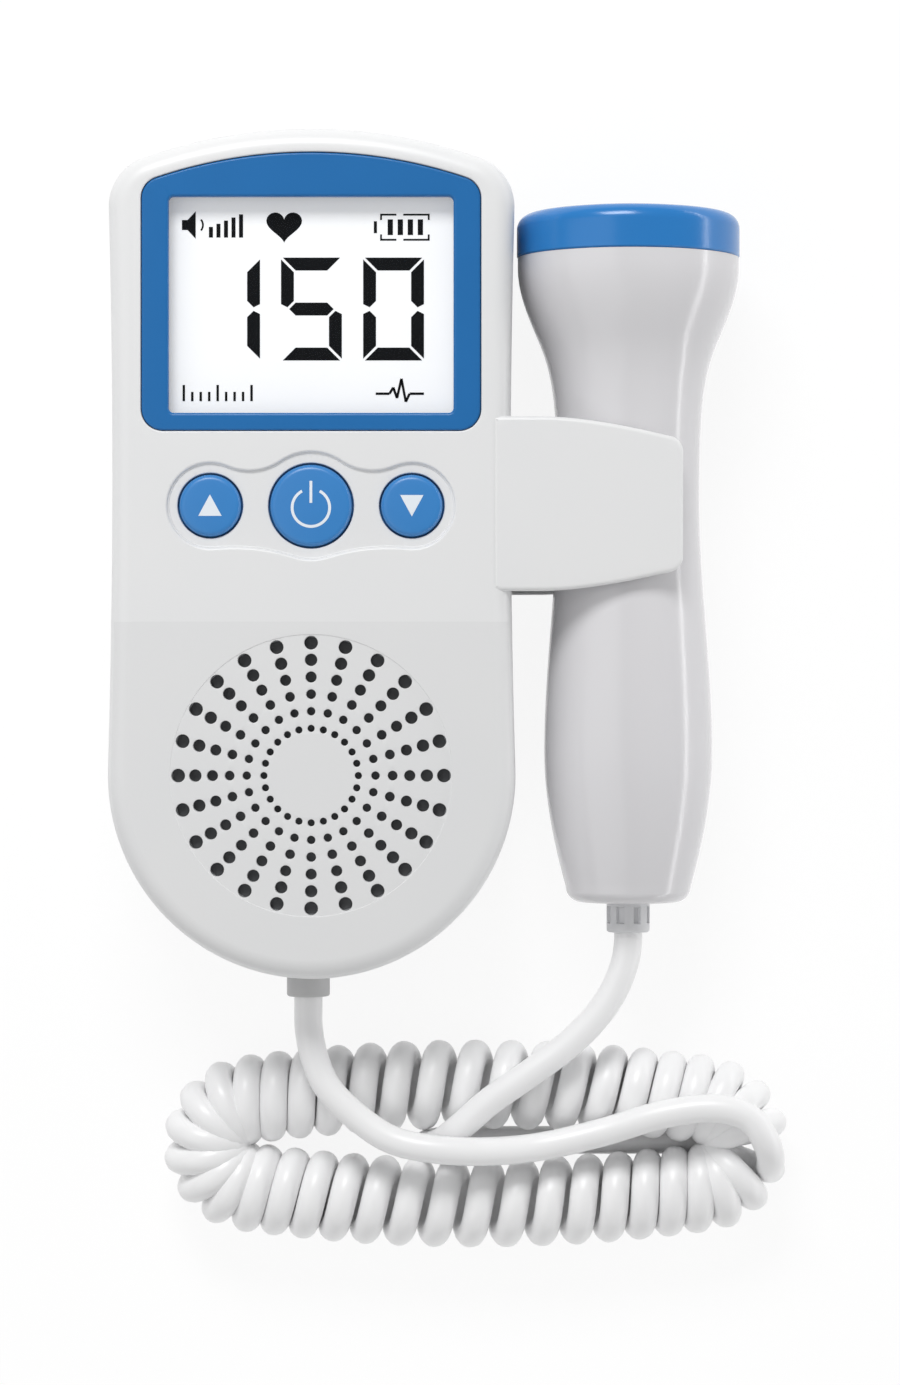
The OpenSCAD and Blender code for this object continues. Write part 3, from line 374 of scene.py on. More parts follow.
finishes = {
    # moulded ABS from a spark-eroded tool: a fine, even satin that scatters the highlight
    "satinAbs": makeFinish("satinAbs", "#ececec", "#e8e9ea", 0.36, 0.35, 0.004, 20, 1.54),
    # the same tool's coarser texture below the crease, with a darker colour painted in as shade where the
    # lower face falls away from the light
    "coarseAbsPaintedShade": makeFinish("coarseAbsPaintedShade", "#e7e7e7", "#e3e4e5", 0.42, 0.5, 0.007, 20, 1.54),
    # moulded ABS from a polished tool: long soft reflections along the grip
    "polishedAbs": makeFinish("polishedAbs", "#dfdee0", "#dbdadd", 0.2, 1.6, 0.003, 25, 1.54),
    # painted ABS: a level film over the moulding, slightly deeper where it pools
    "bluePaint": makeFinish("bluePaint", "#1f6fb2", "#1c6aab", 0.3, 0.5, 0.002, 9, 1.5,
                            **{"Specular IOR Level": 0.35}),
    # moulded polycarbonate keys, rubbed smooth
    "keyPolycarbonate": makeFinish("keyPolycarbonate", "#3385cc", "#2f80c6", 0.34, 0.3, 0.003, 6, 1.58),
    # pad-printed ink: thin, matt and slightly raised
    "whiteInk": makeFinish("whiteInk", "#eef4fa", "#e6eef6", 0.5, 0.2, 0.003, 3, 1.5),
    # blue ABS of the probe's face, polished where it meets the skin
    "faceAbs": makeFinish("faceAbs", "#257dc6", "#2178c0", 0.22, 1.2, 0.002, 10, 1.54),
    # liquid crystal cell over its back light: an even pale field
    "displayCell": makeFinish("displayCell", "#fbfcfd", "#f7f9fb", 0.35, 0.3, 0.001, 15, 1.5,
                              **{"Emission Color": linear("#ffffff"), "Emission Strength": 0.25}),
    # switched segments of the liquid crystal: near black and flat
    "displayInk": makeFinish("displayInk", "#0b0c0e", "#121417", 0.7, 0.3, 0.001, 4, 1.5,
                             **{"Specular IOR Level": 0.1}),
    # light guide of milky acrylic in its frame
    "milkyAcrylic": makeFinish("milkyAcrylic", "#f2f2ec", "#ecece4", 0.3, 0.8, 0.002, 10, 1.49),
    # compression-moulded silicone: dull, slightly dusty
    "silicone": makeFinish("silicone", "#c9ccd0", "#bfc3c8", 0.6, 0.3, 0.005, 5, 1.43),
    # solder mask over a woven glass board
    "solderMask": makeFinish("solderMask", "#1f6b45", "#185a39", 0.35, 0.9, 0.01, 2, 1.55),
    # moulded epoxy chip bodies
    "chipEpoxy": makeFinish("chipEpoxy", "#26282b", "#303236", 0.55, 0.2, 0.005, 3, 1.55),
    # pressed steel with a bright zinc plate
    "zincSteel": makeFinish("zincSteel", "#c4c7ca", "#b4b8bd", 0.32, 0.6, 0.004, 4, 1.5, Metallic=1.0),
    # nickel-plated spring steel
    "springSteel": makeFinish("springSteel", "#cfcbc0", "#c1bdb2", 0.24, 0.5, 0.002, 4, 1.5, Metallic=1.0),
    # pressed paper pulp, dyed and lightly felted
    "conePaper": makeFinish("conePaper", "#333335", "#3d3d40", 0.85, 0.5, 0.03, 3, 1.45),
    # sintered ferrite in its cup: dark, dull and slightly porous
    "ferrite": makeFinish("ferrite", "#3c3e41", "#494b4f", 0.6, 0.5, 0.02, 4, 2.3),
    # steel can in a plain printed sleeve
    "cellSleeve": makeFinish("cellSleeve", "#5d646b", "#6a7178", 0.3, 0.4, 0.002, 8, 1.5,
                             **{"Coat Weight": 0.5, "Coat Roughness": 0.1}),
    # flexible PVC sleeve, moulded on the cord
    "greyPvc": makeFinish("greyPvc", "#c6c6c6", "#bebebf", 0.48, 0.3, 0.006, 3, 1.53),
    "paleGreyPvc": makeFinish("paleGreyPvc", "#e2e2e4", "#dadbdd", 0.45, 0.3, 0.006, 3, 1.53),
    # extruded PVC jacket: smooth, soft sheen, faint draw marks
    "cordPvc": makeFinish("cordPvc", "#fafafa", "#f5f5f6", 0.33, 0.9, 0.004, 15, 1.53),
    # fired piezo ceramic with its fired silver
    "piezoCeramic": makeFinish("piezoCeramic", "#c8b48a", "#bda97f", 0.5, 0.2, 0.004, 3, 1.8),
    # tungsten-filled epoxy, cast in place
    "castEpoxy": makeFinish("castEpoxy", "#4b4238", "#423a31", 0.6, 0.3, 0.01, 3, 1.55),
    # woven polyester speaker cloth: black threads, dull, drawn at 0.8 mm so that the weave shows
    "speakerCloth": makeFinish("speakerCloth", "#48494b", "#58595b", 0.95, 0.8, 0.05, 2, 1.4),
    # clear hard-coated acrylic window
    "clearAcrylic": makeFinish("clearAcrylic", "#2a3036", "#262c32", 0.04, 2, 0.0005, 20, 1.49, Alpha=0.03),
}
print("materials made", len(finishes))


# Tube along a line, with its side turned as little as possible from ring to ring.
def tube(bm, line, r, sides):
    side, rings = Vector((0, 0, 1)), []
    for i, p in enumerate(line):
        ahead = (line[min(i + 1, len(line) - 1)] - line[max(i - 1, 0)]).normalized()
        side = (side - ahead * side.dot(ahead)).normalized()
        other = ahead.cross(side)
        rings.append([bm.verts.new(p + r * (cos(2 * pi * k / sides) * side + sin(2 * pi * k / sides) * other))
                      for k in range(sides)])
    for a, b in zip(rings, rings[1:]):
        bridge(bm, a, b)
    bm.faces.new(rings[0])
    bm.faces.new(rings[-1])


bm = bmesh.new()
tube(bm, unitLine, cord["wire"] / 2, cord["sides"])
unitCord = makePiece("unitCord", bm, finishes["cordPvc"], unit, ("lead_main", "coil_cord"))
bm = bmesh.new()
tube(bm, probeLine, cord["wire"] / 2, cord["sides"])
probeCord = makePiece("probeCord", bm, finishes["cordPvc"], None, ("lead_probe",))
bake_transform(probeCord)
print("cords made")

# Case.
case = {
    "width": 65, "length": 135.5, "depth": 33,
    "pinch": 0.75, "waist": 13,
    "cornerR": 8.3, "archR": 81,
    "frontEdge": 3.2, "backEdge": 5,
    "split": 16,
    "faceFall": 0.7, "crease": -10.8,
    "fadeLow": 22, "fadeRun": 6,  # heights over which the face's fall fades into the side
    "seam": 0.22,  # half of the groove where the shells meet
}
footR = case["width"] / 2
footY = footR - case["length"] / 2
top = case["length"] / 2


# Tangent arcs of the plan: foot, flank, corner and arch.
def planArcs():
    waistX, rise = footR - case["pinch"], case["waist"] - footY
    flankR = (waistX ** 2 + rise ** 2 - footR ** 2) / (2 * case["pinch"])
    flankX, archY = waistX + flankR, top - case["archR"]
    toFlank, toArch = flankR + case["cornerR"], case["archR"] - case["cornerR"]
    dx, dy = flankX, case["waist"] - archY
    apart = hypot(dx, dy)
    along = (toArch ** 2 - toFlank ** 2 + apart ** 2) / (2 * apart)
    aside = sqrt(toArch ** 2 - along ** 2)
    corner = (along * dx / apart - aside * dy / apart, archY + along * dy / apart + aside * dx / apart)
    return {
        "flankR": flankR, "flankX": flankX, "archY": archY, "corner": corner,
        "footA": degrees(atan2(rise, flankX)),
        "flankA": degrees(atan2(case["waist"] - corner[1], flankX - corner[0])),
        "archA": degrees(atan2(corner[1] - archY, corner[0])),
    }


plan = planArcs()


def caseLoop(inset=0):
    p, (cx, cy), r = plan, plan["corner"], case["cornerR"] - inset
    footA, flankA, archA = p["footA"], p["flankA"], p["archA"]
    flankX, waist, flankR = p["flankX"], case["waist"], p["flankR"] + inset
    loop = (arcPoints(0, footY, footR - inset, 180 - footA, 360 + footA, 96)
            + arcPoints(flankX, waist, flankR, 180 + footA, 180 + flankA, 24)
            + arcPoints(cx, cy, r, flankA, archA, 20)
            + arcPoints(0, p["archY"], case["archR"] - inset, archA, 180 - archA, 32)
            + arcPoints(-cx, cy, r, 180 - archA, 180 - flankA, 20)
            + arcPoints(-flankX, waist, flankR, -flankA, -footA, 24))
    for side in (-1, 1):  # one point of each flank lies on the crease
        flank = [i for i, (x, y) in enumerate(loop) if side * x > 0]
        i = min(flank, key=lambda k: abs(loop[k][1] - case["crease"]))
        loop[i] = (loop[i][0], case["crease"])
    return loop


# Below the crease the front face falls towards the foot.
def faceDrop(y):
    return case["faceFall"] * max(0, case["crease"] - y) / (top + case["crease"])


# Display.
display = {
    "middle": 39.5, "w": 45.2, "h": 34.3,
    "bezelW": 53.8, "topGap": 4.1, "chin": 2.8, "bezelR": 3.4,
    "windowEdge": 0.5, "fit": 0.12,
    "bezelZ": 32.9, "bezelLow": 31.5,
}


def bezelLoop(more=0):
    half, r = display["bezelW"] / 2 + more, display["bezelR"] + more
    topR = case["archR"] - display["topGap"] + more
    low = display["middle"] - display["h"] / 2 - display["chin"] - more
    shoulder = plan["archY"] + sqrt((topR - r) ** 2 - (half - r) ** 2)
    lean = degrees(atan2(shoulder - plan["archY"], half - r))
    return refine(arcPoints(half - r, low + r, r, -90, 0, 10) + [(half, low + r)]
                  + arcPoints(half - r, shoulder, r, 0, lean, 12)
                  + arcPoints(0, plan["archY"], topR, lean, 180 - lean, 36)
                  + arcPoints(r - half, shoulder, r, 180 - lean, 180, 12) + [(-half, shoulder)]
                  + arcPoints(r - half, low + r, r, 180, 270, 10) + [(r - half, low)], 1.2)


# Keys and the wavy recess that they stand in.
keys = {
    "row": 7.6, "pitch": 16,
    "sideR": 4.9, "powerR": 6.5,
    "basinSideR": 6.76, "basinPowerR": 8.5,
    "upperValleyR": 8.9, "lowerValleyR": 31.1,
    "basinDepth": 0.6, "basinEdge": 0.45,
    "gap": 0.3, "topZ": 33.4, "edge": 0.9, "crownR": 70,
    "lowZ": 29.9, "flangeT": 0.8, "flangeOut": 1, "stemR": 1.8, "stemZ": 25.7,
}


# Centre of an arc of radius r that touches both basin circles from outside, above or below them.
def valleyCentre(r, way):
    a, b, d = keys["basinPowerR"] + r, keys["basinSideR"] + r, keys["pitch"]
    x = (a * a - b * b + d * d) / (2 * d)
    return x, way * sqrt(a * a - x * x)


def basinLoop():
    row, d = keys["row"], keys["pitch"]
    ux, uy = valleyCentre(keys["upperValleyR"], 1)
    lx, ly = valleyCentre(keys["lowerValleyR"], -1)
    powerUp, powerDown = degrees(atan2(uy, ux)), degrees(atan2(ly, lx))
    sideUp, sideDown = degrees(atan2(uy, ux - d)), degrees(atan2(ly, lx - d))
    ru, rl = keys["upperValleyR"], keys["lowerValleyR"]
    return refine(
        arcPoints(d, row, keys["basinSideR"], sideDown, sideUp, 26)
        + arcPoints(ux, row + uy, ru, sideUp - 180, powerUp - 180, 12)
        + arcPoints(0, row, keys["basinPowerR"], powerUp, 180 - powerUp, 20)
        + arcPoints(-ux, row + uy, ru, -powerUp, -sideUp, 12)
        + arcPoints(-d, row, keys["basinSideR"], 180 - sideUp, 180 - sideDown, 26)
        + arcPoints(-lx, row + ly, rl, -sideDown, -powerDown, 12)
        + arcPoints(0, row, keys["basinPowerR"], 180 - powerDown, 360 + powerDown, 20)
        + arcPoints(lx, row + ly, rl, powerDown + 180, sideDown + 180, 12), 1)


grille = {
    "x": 0, "y": footY, "spokes": 24, "rings": 6,
    "firstR": 7.5, "step": 2.72, "firstD": 1.15, "growth": 0.21,
    "discR": 22.4, "discDrop": 0.12, "holeEdge": 0.12, "depth": 2,
}

arm = {
    "root": 28.9, "tip": 59.1, "tipR": 2.6,
    "topRoot": 21.8, "topTip": 18.8, "lowRoot": -5.9, "lowTip": -2.95,
    "edge": 0.7, "frontZ": 33.02, "frontT": 2.43, "rearZ": 5.7, "rearT": 2.1,
    "crownStart": 35.7, "crownR": 300,
    "bendStart": 0.3, "bendPower": 1.6,
}


# Tongue with long edges that stay straight for a third and then curve in towards the tip.
def armLoop():
    reach, count = arm["tip"] - arm["root"] - arm["tipR"], 24

    def edge(rootY, tipY, t):
        bend = max(0, (t - arm["bendStart"]) / (1 - arm["bendStart"]))
        return rootY + (tipY - rootY) * bend ** arm["bendPower"]

    xs = [arm["root"] + reach * i / count for i in range(count + 1)]
    low = [(x, edge(arm["lowRoot"], arm["lowTip"], i / count)) for i, x in enumerate(xs[:-1])]
    high = [(x, edge(arm["topRoot"], arm["topTip"], i / count)) for i, x in enumerate(xs)][::-1]
    x = arm["tip"] - arm["tipR"]
    tip = (arcPoints(x, arm["lowTip"] + arm["tipR"], arm["tipR"], -78, 0, 8)
           + arcPoints(x, arm["topTip"] - arm["tipR"], arm["tipR"], 0, 78, 8))
    return refine(low + tip + high, 1)


def addArm(bm, z, thickness, edge, down):
    loop = armLoop()
    start = len(bm.verts)
    upper = roundedEdge(bm, loop, z, edge, -1, 4, down)
    lower = roundedEdge(bm, loop, z - down * thickness, 0.4, -1, 3, -down)
    bridge(bm, upper[-1], lower[-1])
    grid = [(x, y) for x in range(30, 58, 2) for y in range(-2, 19, 3)]  # lets the crown bend smoothly
    fillPanel(bm, upper[0], extra=grid)
    fillPanel(bm, lower[0])
    bm.verts.ensure_lookup_table()
    for v in list(bm.verts)[start:]:
        share = (v.co.z - (z - down * thickness)) / (down * thickness)
        v.co.z -= down * share * max(0, v.co.x - arm["crownStart"]) ** 2 / (2 * arm["crownR"])


# Curved wall behind the probe's neck and the two ribs that tie it to the case.
cradle = {
    "x": 50.95, "z": 18.15, "r": 12.44, "t": 2.1, "low": -4.3, "high": 20.3,
    "ribX": 31.3, "ribT": 1.8, "ribIn": 4, "ribInto": 0.6, "ribOver": 1.6,
}


def addCradle(bm, zLow, zHigh):
    c, rows = cradle, []
    near, far = c["r"], c["r"] + c["t"]
    section = ((near, c["low"]), (far, c["low"]), (far, c["high"]), (near, c["high"]))
    for a in range(100, 261, 4):
        a = radians(a)
        rows.append([(c["x"] + r * cos(a), y, c["z"] + r * sin(a)) for r, y in section])
    rows = [row for row in rows if zLow - 0.5 <= row[0][2] <= zHigh + 0.5]
    rings = [[bm.verts.new(p) for p in row] for row in rows]
    for a, b in zip(rings, rings[1:]):
        bridge(bm, a, b)
    bm.faces.new(rings[0])
    bm.faces.new(rings[-1])
    farX = c["x"] - c["r"] - c["ribInto"]
    low = max(zLow, c["z"] - c["r"] - c["ribOver"])
    high = min(zHigh, c["z"] + c["r"] + c["ribOver"])
    for y in (c["low"] + c["ribIn"], c["high"] - c["ribIn"] - c["ribT"]):
        boxIn(bm, (c["ribX"], y, low), (farX, y + c["ribT"], high))


bm = bmesh.new()
outer = roundedEdge(bm, caseLoop(), case["depth"], case["frontEdge"], -1, 10)
waistRing = ring(bm, caseLoop(), case["fadeLow"])
seamTop = ring(bm, caseLoop(), case["split"] + 2 * case["seam"])
seamIn = ring(bm, caseLoop(case["seam"]), case["split"])
bridge(bm, outer[-1], waistRing)
bridge(bm, waistRing, seamTop)
bridge(bm, seamTop, seamIn)

bezelPocket = roundedEdge(bm, bezelLoop(display["fit"]), case["depth"], 0.25, 1, 3)
bridge(bm, bezelPocket[-1], ring(bm, bezelLoop(display["fit"]), display["bezelLow"] - 0.3))

basin = roundedEdge(bm, basinLoop(), case["depth"], keys["basinEdge"], 1, 5)
floorZ = case["depth"] - keys["basinDepth"]
basinFoot = roundedEdge(bm, grow(basinLoop(), -0.15), floorZ, 0.15, -1, 3, -1)
bridge(bm, basin[-1], basinFoot[-1])
keyWells = []
for x, r in ((-keys["pitch"], keys["sideR"]), (0, keys["powerR"]), (keys["pitch"], keys["sideR"])):
    well = roundedEdge(bm, circleLoop(x, keys["row"], r + keys["gap"], 56), floorZ, 0.2, 1, 3)
    bridge(bm, well[-1], ring(bm, circleLoop(x, keys["row"], r + keys["gap"], 56), floorZ - 1.6))
    keyWells.append(well[0])
fillPanel(bm, basinFoot[0], keyWells)

discLoop = circleLoop(grille["x"], grille["y"], grille["discR"], 96)
discRim = roundedEdge(bm, discLoop, case["depth"], grille["discDrop"], 1, 2)
soundHoles = []
for row in range(grille["rings"]):
    for spoke in range(grille["spokes"]):
        a = 2 * pi * spoke / grille["spokes"]
        r = grille["firstR"] + row * grille["step"]
        holeR = (grille["firstD"] + row * grille["growth"]) / 2
        loop = circleLoop(grille["x"] + r * cos(a), grille["y"] + r * sin(a), holeR, 18)
        hole = roundedEdge(bm, loop, case["depth"] - grille["discDrop"], grille["holeEdge"], 1, 2)
        bridge(bm, hole[-1], ring(bm, loop, case["depth"] - grille["depth"]))
        soundHoles.append(hole[0])
fillPanel(bm, discRim[-1], soundHoles)
creaseLine = [(x, case["crease"] + d) for x in range(-28, 29) for d in (-1.5, 0, 1.5)]
fillPanel(bm, outer[0], [bezelPocket[0], basin[0], discRim[0]], creaseLine)
for v in bm.verts:
    v.co.z -= faceDrop(v.co.y) * max(0, min(1, (v.co.z - case["fadeLow"]) / case["fadeRun"]))
addArm(bm, arm["frontZ"], arm["frontT"], arm["edge"], 1)
addCradle(bm, case["split"], 31)
frontShell = makePiece("frontShell", bm, finishes["satinAbs"], unit, ("front_shell",))
frontShell.data.materials.append(finishes["coarseAbsPaintedShade"])
# Front faces below the crease get the second finish, whose darker colour is painted shade.
creaseY = inFrame((0, case["crease"], 0)).y
for face in frontShell.data.polygons:
    onFront = face.normal.z > 0.6 and face.center.z > 0.03
    face.material_index = 1 if onFront and face.center.y < creaseY else 0
print("front shell made")

# Rear shell and battery door, cut from the same rounded form.
back = {
    "doorW": 33.6, "doorTop": 8.1, "doorT": 2, "slip": 0.3,
    "bayW": 29.6, "bayLow": -51, "bayHigh": 6.5, "bayZ": 15,
    "tabs": (-0.9, -21.9, -42.9), "tabW": 1, "tabL": 7, "slide": 8,
    "grooves": 5, "grooveW": 14, "grooveLess": 1.6, "grooveStep": 2.2, "grooveTop": 8, "grooveR": 0.6,
    "screws": ((26.85, 14.4), (-26.85, 14.4), (20.6, -55.2), (-20.6, -55.2)),
    "wellR": 2.8, "wellDepth": 4.3,
    "pastFoot": -90, "under": -1,  # cutters reach out of the shell
}


def rearForm(bm, zTop):
    rings = roundedEdge(bm, caseLoop(), 0, case["backEdge"], -1, 12, -1)
    topRing = ring(bm, caseLoop(), zTop - 2 * case["seam"])
    seamRing = ring(bm, caseLoop(case["seam"]), zTop)
    bridge(bm, rings[-1], topRing)
    bridge(bm, topRing, seamRing)
    fillPanel(bm, rings[0])
    fillPanel(bm, seamRing)


# Cuts base with a second mesh and leaves the result in base's own mesh.
def cutWith(base, fill, operation):
    tool = bmesh.new()
    fill(tool)
    bmesh.ops.recalc_face_normals(tool, faces=tool.faces)
    toolMesh = bpy.data.meshes.new("cutter")
    tool.to_mesh(toolMesh)
    tool.free()
    baseMesh = bpy.data.meshes.new("blank")
    bmesh.ops.recalc_face_normals(base, faces=base.faces)
    base.to_mesh(baseMesh)
    base.free()
    blank = bpy.data.objects.new("blank", baseMesh)
    cutter = bpy.data.objects.new("cutter", toolMesh)
    for o in (blank, cutter):
        scene.collection.objects.link(o)
    step = blank.modifiers.new("cut", "BOOLEAN")
    step.operation, step.object, step.solver = operation, cutter, "EXACT"
    result = blank.evaluated_get(bpy.context.evaluated_depsgraph_get()).to_mesh()
    made = bmesh.new()
    made.from_mesh(result)
    for o in (blank, cutter):
        mesh = o.data
        bpy.data.objects.remove(o)
        bpy.data.meshes.remove(mesh)
    return made


# The cutters of one step don't touch each other.
def doorCut(tool):
    slip = back["slip"]
    half = back["doorW"] / 2 + slip
    boxIn(tool, (-half, back["pastFoot"], back["under"]),
          (half, back["doorTop"] + slip, back["doorT"] + slip))


def bayCuts(tool):
    half, r, low, depth = back["bayW"] / 2, back["wellR"], back["under"], back["wellDepth"]
    boxIn(tool, (-half, back["bayLow"], 1), (half, back["bayHigh"], back["bayZ"]))
    for x, y in back["screws"]:
        turned(tool, [(0, low), (r, low), (r, depth), (0, depth)], x, y, 40)


def tabCuts(tool):
    half, slip = back["doorW"] / 2, back["slip"]
    for side in (-1, 1):
        for y in back["tabs"]:
            low, high = sorted((side * (half - 1), side * (half + back["tabW"] + slip)))
            y -= back["slide"]
            boxIn(tool, (low, y - slip, back["under"]), (high, y + back["tabL"] + slip, back["doorT"]))


bm = bmesh.new()
rearForm(bm, case["split"])
for cuts in (doorCut, bayCuts, tabCuts):
    bm = cutWith(bm, cuts, "DIFFERENCE")
addArm(bm, arm["rearZ"] - arm["rearT"], arm["rearT"], arm["edge"], -1)
addCradle(bm, 4.9, case["split"] - 0.1)
makePiece("rearShell", bm, finishes["satinAbs"], unit, ("rear_shell",), 30)


def doorBlank(tool):
    half = back["doorW"] / 2
    boxIn(tool, (-half, back["pastFoot"], back["under"]), (half, back["doorTop"], back["doorT"]))


def thumbGrooves(tool):
    for i in range(back["grooves"]):
        half = (back["grooveW"] - i * back["grooveLess"]) / 2
        y = back["doorTop"] - back["grooveTop"] - i * back["grooveStep"]
        loop = circleLoop(y, 0, back["grooveR"], 20)
        rings = [[tool.verts.new((x, *point)) for point in loop] for x in (-half, half)]
        bridge(tool, rings[0], rings[1])
        tool.faces.new(rings[0])
        tool.faces.new(rings[1])


bm = bmesh.new()
rearForm(bm, case["split"])
bm = cutWith(bm, doorBlank, "INTERSECT")
bm = cutWith(bm, thumbGrooves, "DIFFERENCE")
makePiece("batteryDoor", bm, finishes["satinAbs"], "battery_door", ("battery_door",), 30)
print("rear shell and door made")

# Bezel with a round outer edge and a window with a small bevel.
bm = bmesh.new()
outside = roundedEdge(bm, bezelLoop(), display["bezelZ"], 0.35, -1, 4)
bridge(bm, outside[-1], ring(bm, bezelLoop(), display["bezelLow"]))
windowLoop = refine(roundRect(0, display["middle"], display["w"], display["h"], 0.8), 1.5)
window = roundedEdge(bm, windowLoop, display["bezelZ"], display["windowEdge"], 1, 4)
bridge(bm, window[-1], ring(bm, windowLoop, display["bezelLow"]))
fillPanel(bm, outside[0], [window[0]])
makePiece("bezel", bm, finishes["bluePaint"], unit, ("display_bezel",))

# Display image: plain digits and signs. Bars and lines are x, y, width, height.
signs = {
    "z": 29.44, "digitH": 16.4, "digitW": 9.7, "stroke": 2.05, "split": 0.28,
    "digits": ((-13.1, "1"), (-0.05, "5"), (13.05, "0")), "digitsY": 39.1,
    "heart": (-4.4, 52.2, 5.7, 4.9),
    "speaker": ((-20.7, 51.7), (-19.8, 51.7), (-18.5, 50.3), (-18.5, 54.7), (-19.8, 53.3), (-20.7, 53.3)),
    "wave": (-18.7, 52.5, 1.2, 1.5),  # middle and both radii
    "volume": [(-16.4 + 1.2 * i, 50.5, 0.65, 1.7 + 0.5 * i) for i in range(5)],
    "charge": [(12.1 + 1.6 * i, 50.9, 0.85, 2.5) for i in range(4)],
    "battery": [(10.9, 54, 2.6, 0.3), (14.6, 54, 4, 0.3), (10.9, 50, 2.6, 0.3), (14.6, 50, 4, 0.3),
                (10.9, 50, 0.3, 1), (10.9, 53.3, 0.3, 1), (18.5, 50, 0.3, 1), (18.5, 53.3, 0.3, 1),
                (9.9, 51.2, 0.5, 1.9)],
    "scale": [(-20.6 + 1.35 * i, 24.4, 0.4, 1.5 if i % 4 else 2.6) for i in range(9)],
    "pulse": ((10.2, 25.6), (12.4, 25.6), (13, 26.6), (13.6, 24.9), (14.3, 28), (15, 24.3),
              (15.6, 25.6), (17.9, 25.6)),
    "pulseHalf": 0.2,
}
segmentsOf = {"1": "bc", "5": "afgcd", "0": "abcdef"}  # a is the top bar, then clockwise, g in the middle


def addShape(bm, points, z=None):
    bm.faces.new([bm.verts.new((x, y, z or signs["z"])) for x, y in points])


def addDigit(bm, cx, cy, digit):
    h, w, s, gap = signs["digitH"] / 2, signs["digitW"] / 2, signs["stroke"], signs["split"]

    def put(points):
        addShape(bm, [(cx + x, cy + y) for x, y in points])

    for name in segmentsOf[digit]:
        if name in "ad":
            y = h if name == "a" else -h
            d = -s if name == "a" else s
            put([(-w + gap, y), (w - gap, y), (w - s - gap, y + d), (-w + s + gap, y + d)])
        elif name == "g":
            put([(-w + gap + s / 2, 0), (-w + s + gap, s / 2), (w - s - gap, s / 2), (w - gap - s / 2, 0),
                 (w - s - gap, -s / 2), (-w + s + gap, -s / 2)])
        else:
            side = 1 if name in "bc" else -1
            way = 1 if name in "bf" else -1
            put([(side * w, way * (h - gap)), (side * w, way * (s / 4 + gap)),
                 (side * (w - s / 2), way * gap), (side * (w - s), way * (s / 2 + gap)),
                 (side * (w - s), way * (h - s - gap))])


def heartLoop(cx, cy, w, h):
    loop = []
    for k in range(40):
        t = 2 * pi * k / 40
        up = (13 * cos(t) - 5 * cos(2 * t) - 2 * cos(3 * t) - cos(4 * t)) / 14.5 + 0.12
        loop.append((cx + w / 2 * sin(t) ** 3, cy + h / 2 * up))
    return loop


bm = bmesh.new()
for x, digit in signs["digits"]:
    addDigit(bm, x, signs["digitsY"], digit)
addShape(bm, heartLoop(*signs["heart"]))
addShape(bm, signs["speaker"])
x, y, near, far = signs["wave"]
for k in range(8):
    a, b = radians(-40 + 10 * k), radians(-40 + 10 * (k + 1))
    addShape(bm, [(x + r * cos(t), y + r * sin(t)) for r, t in ((near, a), (far, a), (far, b), (near, b))])
for x, y, w, h in (*signs["volume"], *signs["charge"], *signs["battery"], *signs["scale"]):
    addShape(bm, [(x, y), (x + w, y), (x + w, y + h), (x, y + h)])
for (ax, ay), (bx, by) in zip(signs["pulse"], signs["pulse"][1:]):
    run = hypot(bx - ax, by - ay)
    nx, ny = -(by - ay) / run * signs["pulseHalf"], (bx - ax) / run * signs["pulseHalf"]
    addShape(bm, [(ax + nx, ay + ny), (ax - nx, ay - ny), (bx - nx, by - ny), (bx + nx, by + ny)])
bmesh.ops.triangulate(bm, faces=bm.faces)
makePiece("displaySigns", bm, finishes["displayInk"], unit)
print("display made")


# Printed signs of the keys: a triangle, and a broken ring with a bar.
keySigns = {
    "lift": 0.02,
    "half": 1.85, "foot": 1.65, "tip": 1.75,
    "near": 2.75, "far": 3.2, "drop": 0.35, "openAt": 118, "sweep": 304,
    "barHalf": 0.22, "barLow": 0.4, "barHigh": 3.9,
}


# A key: crowned top, round edge, flange under the face and a stem down to its dome.
def crownDrop(x, y):
    return (x * x + y * y) / (2 * keys["crownR"])


def addKey(name, node, x, r, glyph):
    edge, topZ, lowZ = keys["edge"], keys["topZ"], keys["lowZ"]
    flangeZ, flangeR = lowZ + keys["flangeT"], r + keys["flangeOut"]
    bm = bmesh.new()
    rimZ = topZ - crownDrop(r - edge, 0)
    profile = [(rr, topZ - crownDrop(rr, 0)) for rr in [(r - edge) * k / 6 for k in range(6)]]
    profile += roundedProfile(r, rimZ, edge, 6)
    profile += [(r, flangeZ), (flangeR, flangeZ), (flangeR, lowZ), (keys["stemR"], lowZ),
                (keys["stemR"], keys["stemZ"]), (0, keys["stemZ"])]
    turned(bm, profile, x, keys["row"], 72)
    makePiece(name, bm, finishes["keyPolycarbonate"], node, (node,))
    bm = bmesh.new()
    glyph(bm)
    bmesh.ops.triangulate(bm, faces=bm.faces)
    for v in bm.verts:
        v.co.z = topZ - crownDrop(v.co.x, v.co.y) + keySigns["lift"]
        v.co.x, v.co.y = v.co.x + x, v.co.y + keys["row"]
    makePiece(name + "Sign", bm, finishes["whiteInk"], node)


def triangleSign(way):
    half, foot, tip = keySigns["half"], keySigns["foot"] * way, keySigns["tip"] * way
    return lambda bm: addShape(bm, refine([(-half, -foot), (half, -foot), (0, tip)][::way], 0.6), 1)


def powerSign(bm):
    g, count = keySigns, 40
    near, far, half = g["near"], g["far"], g["barHalf"]
    for k in range(count):
        a, b = [radians(g["openAt"] + g["sweep"] * i / count) for i in (k, k + 1)]
        addShape(bm, [(r * cos(t), r * sin(t) - g["drop"])
                      for r, t in ((near, a), (far, a), (far, b), (near, b))], 1)
    low, high = g["barLow"], g["barHigh"]
    addShape(bm, refine([(-half, low), (half, low), (half, high), (-half, high)], 0.5), 1)


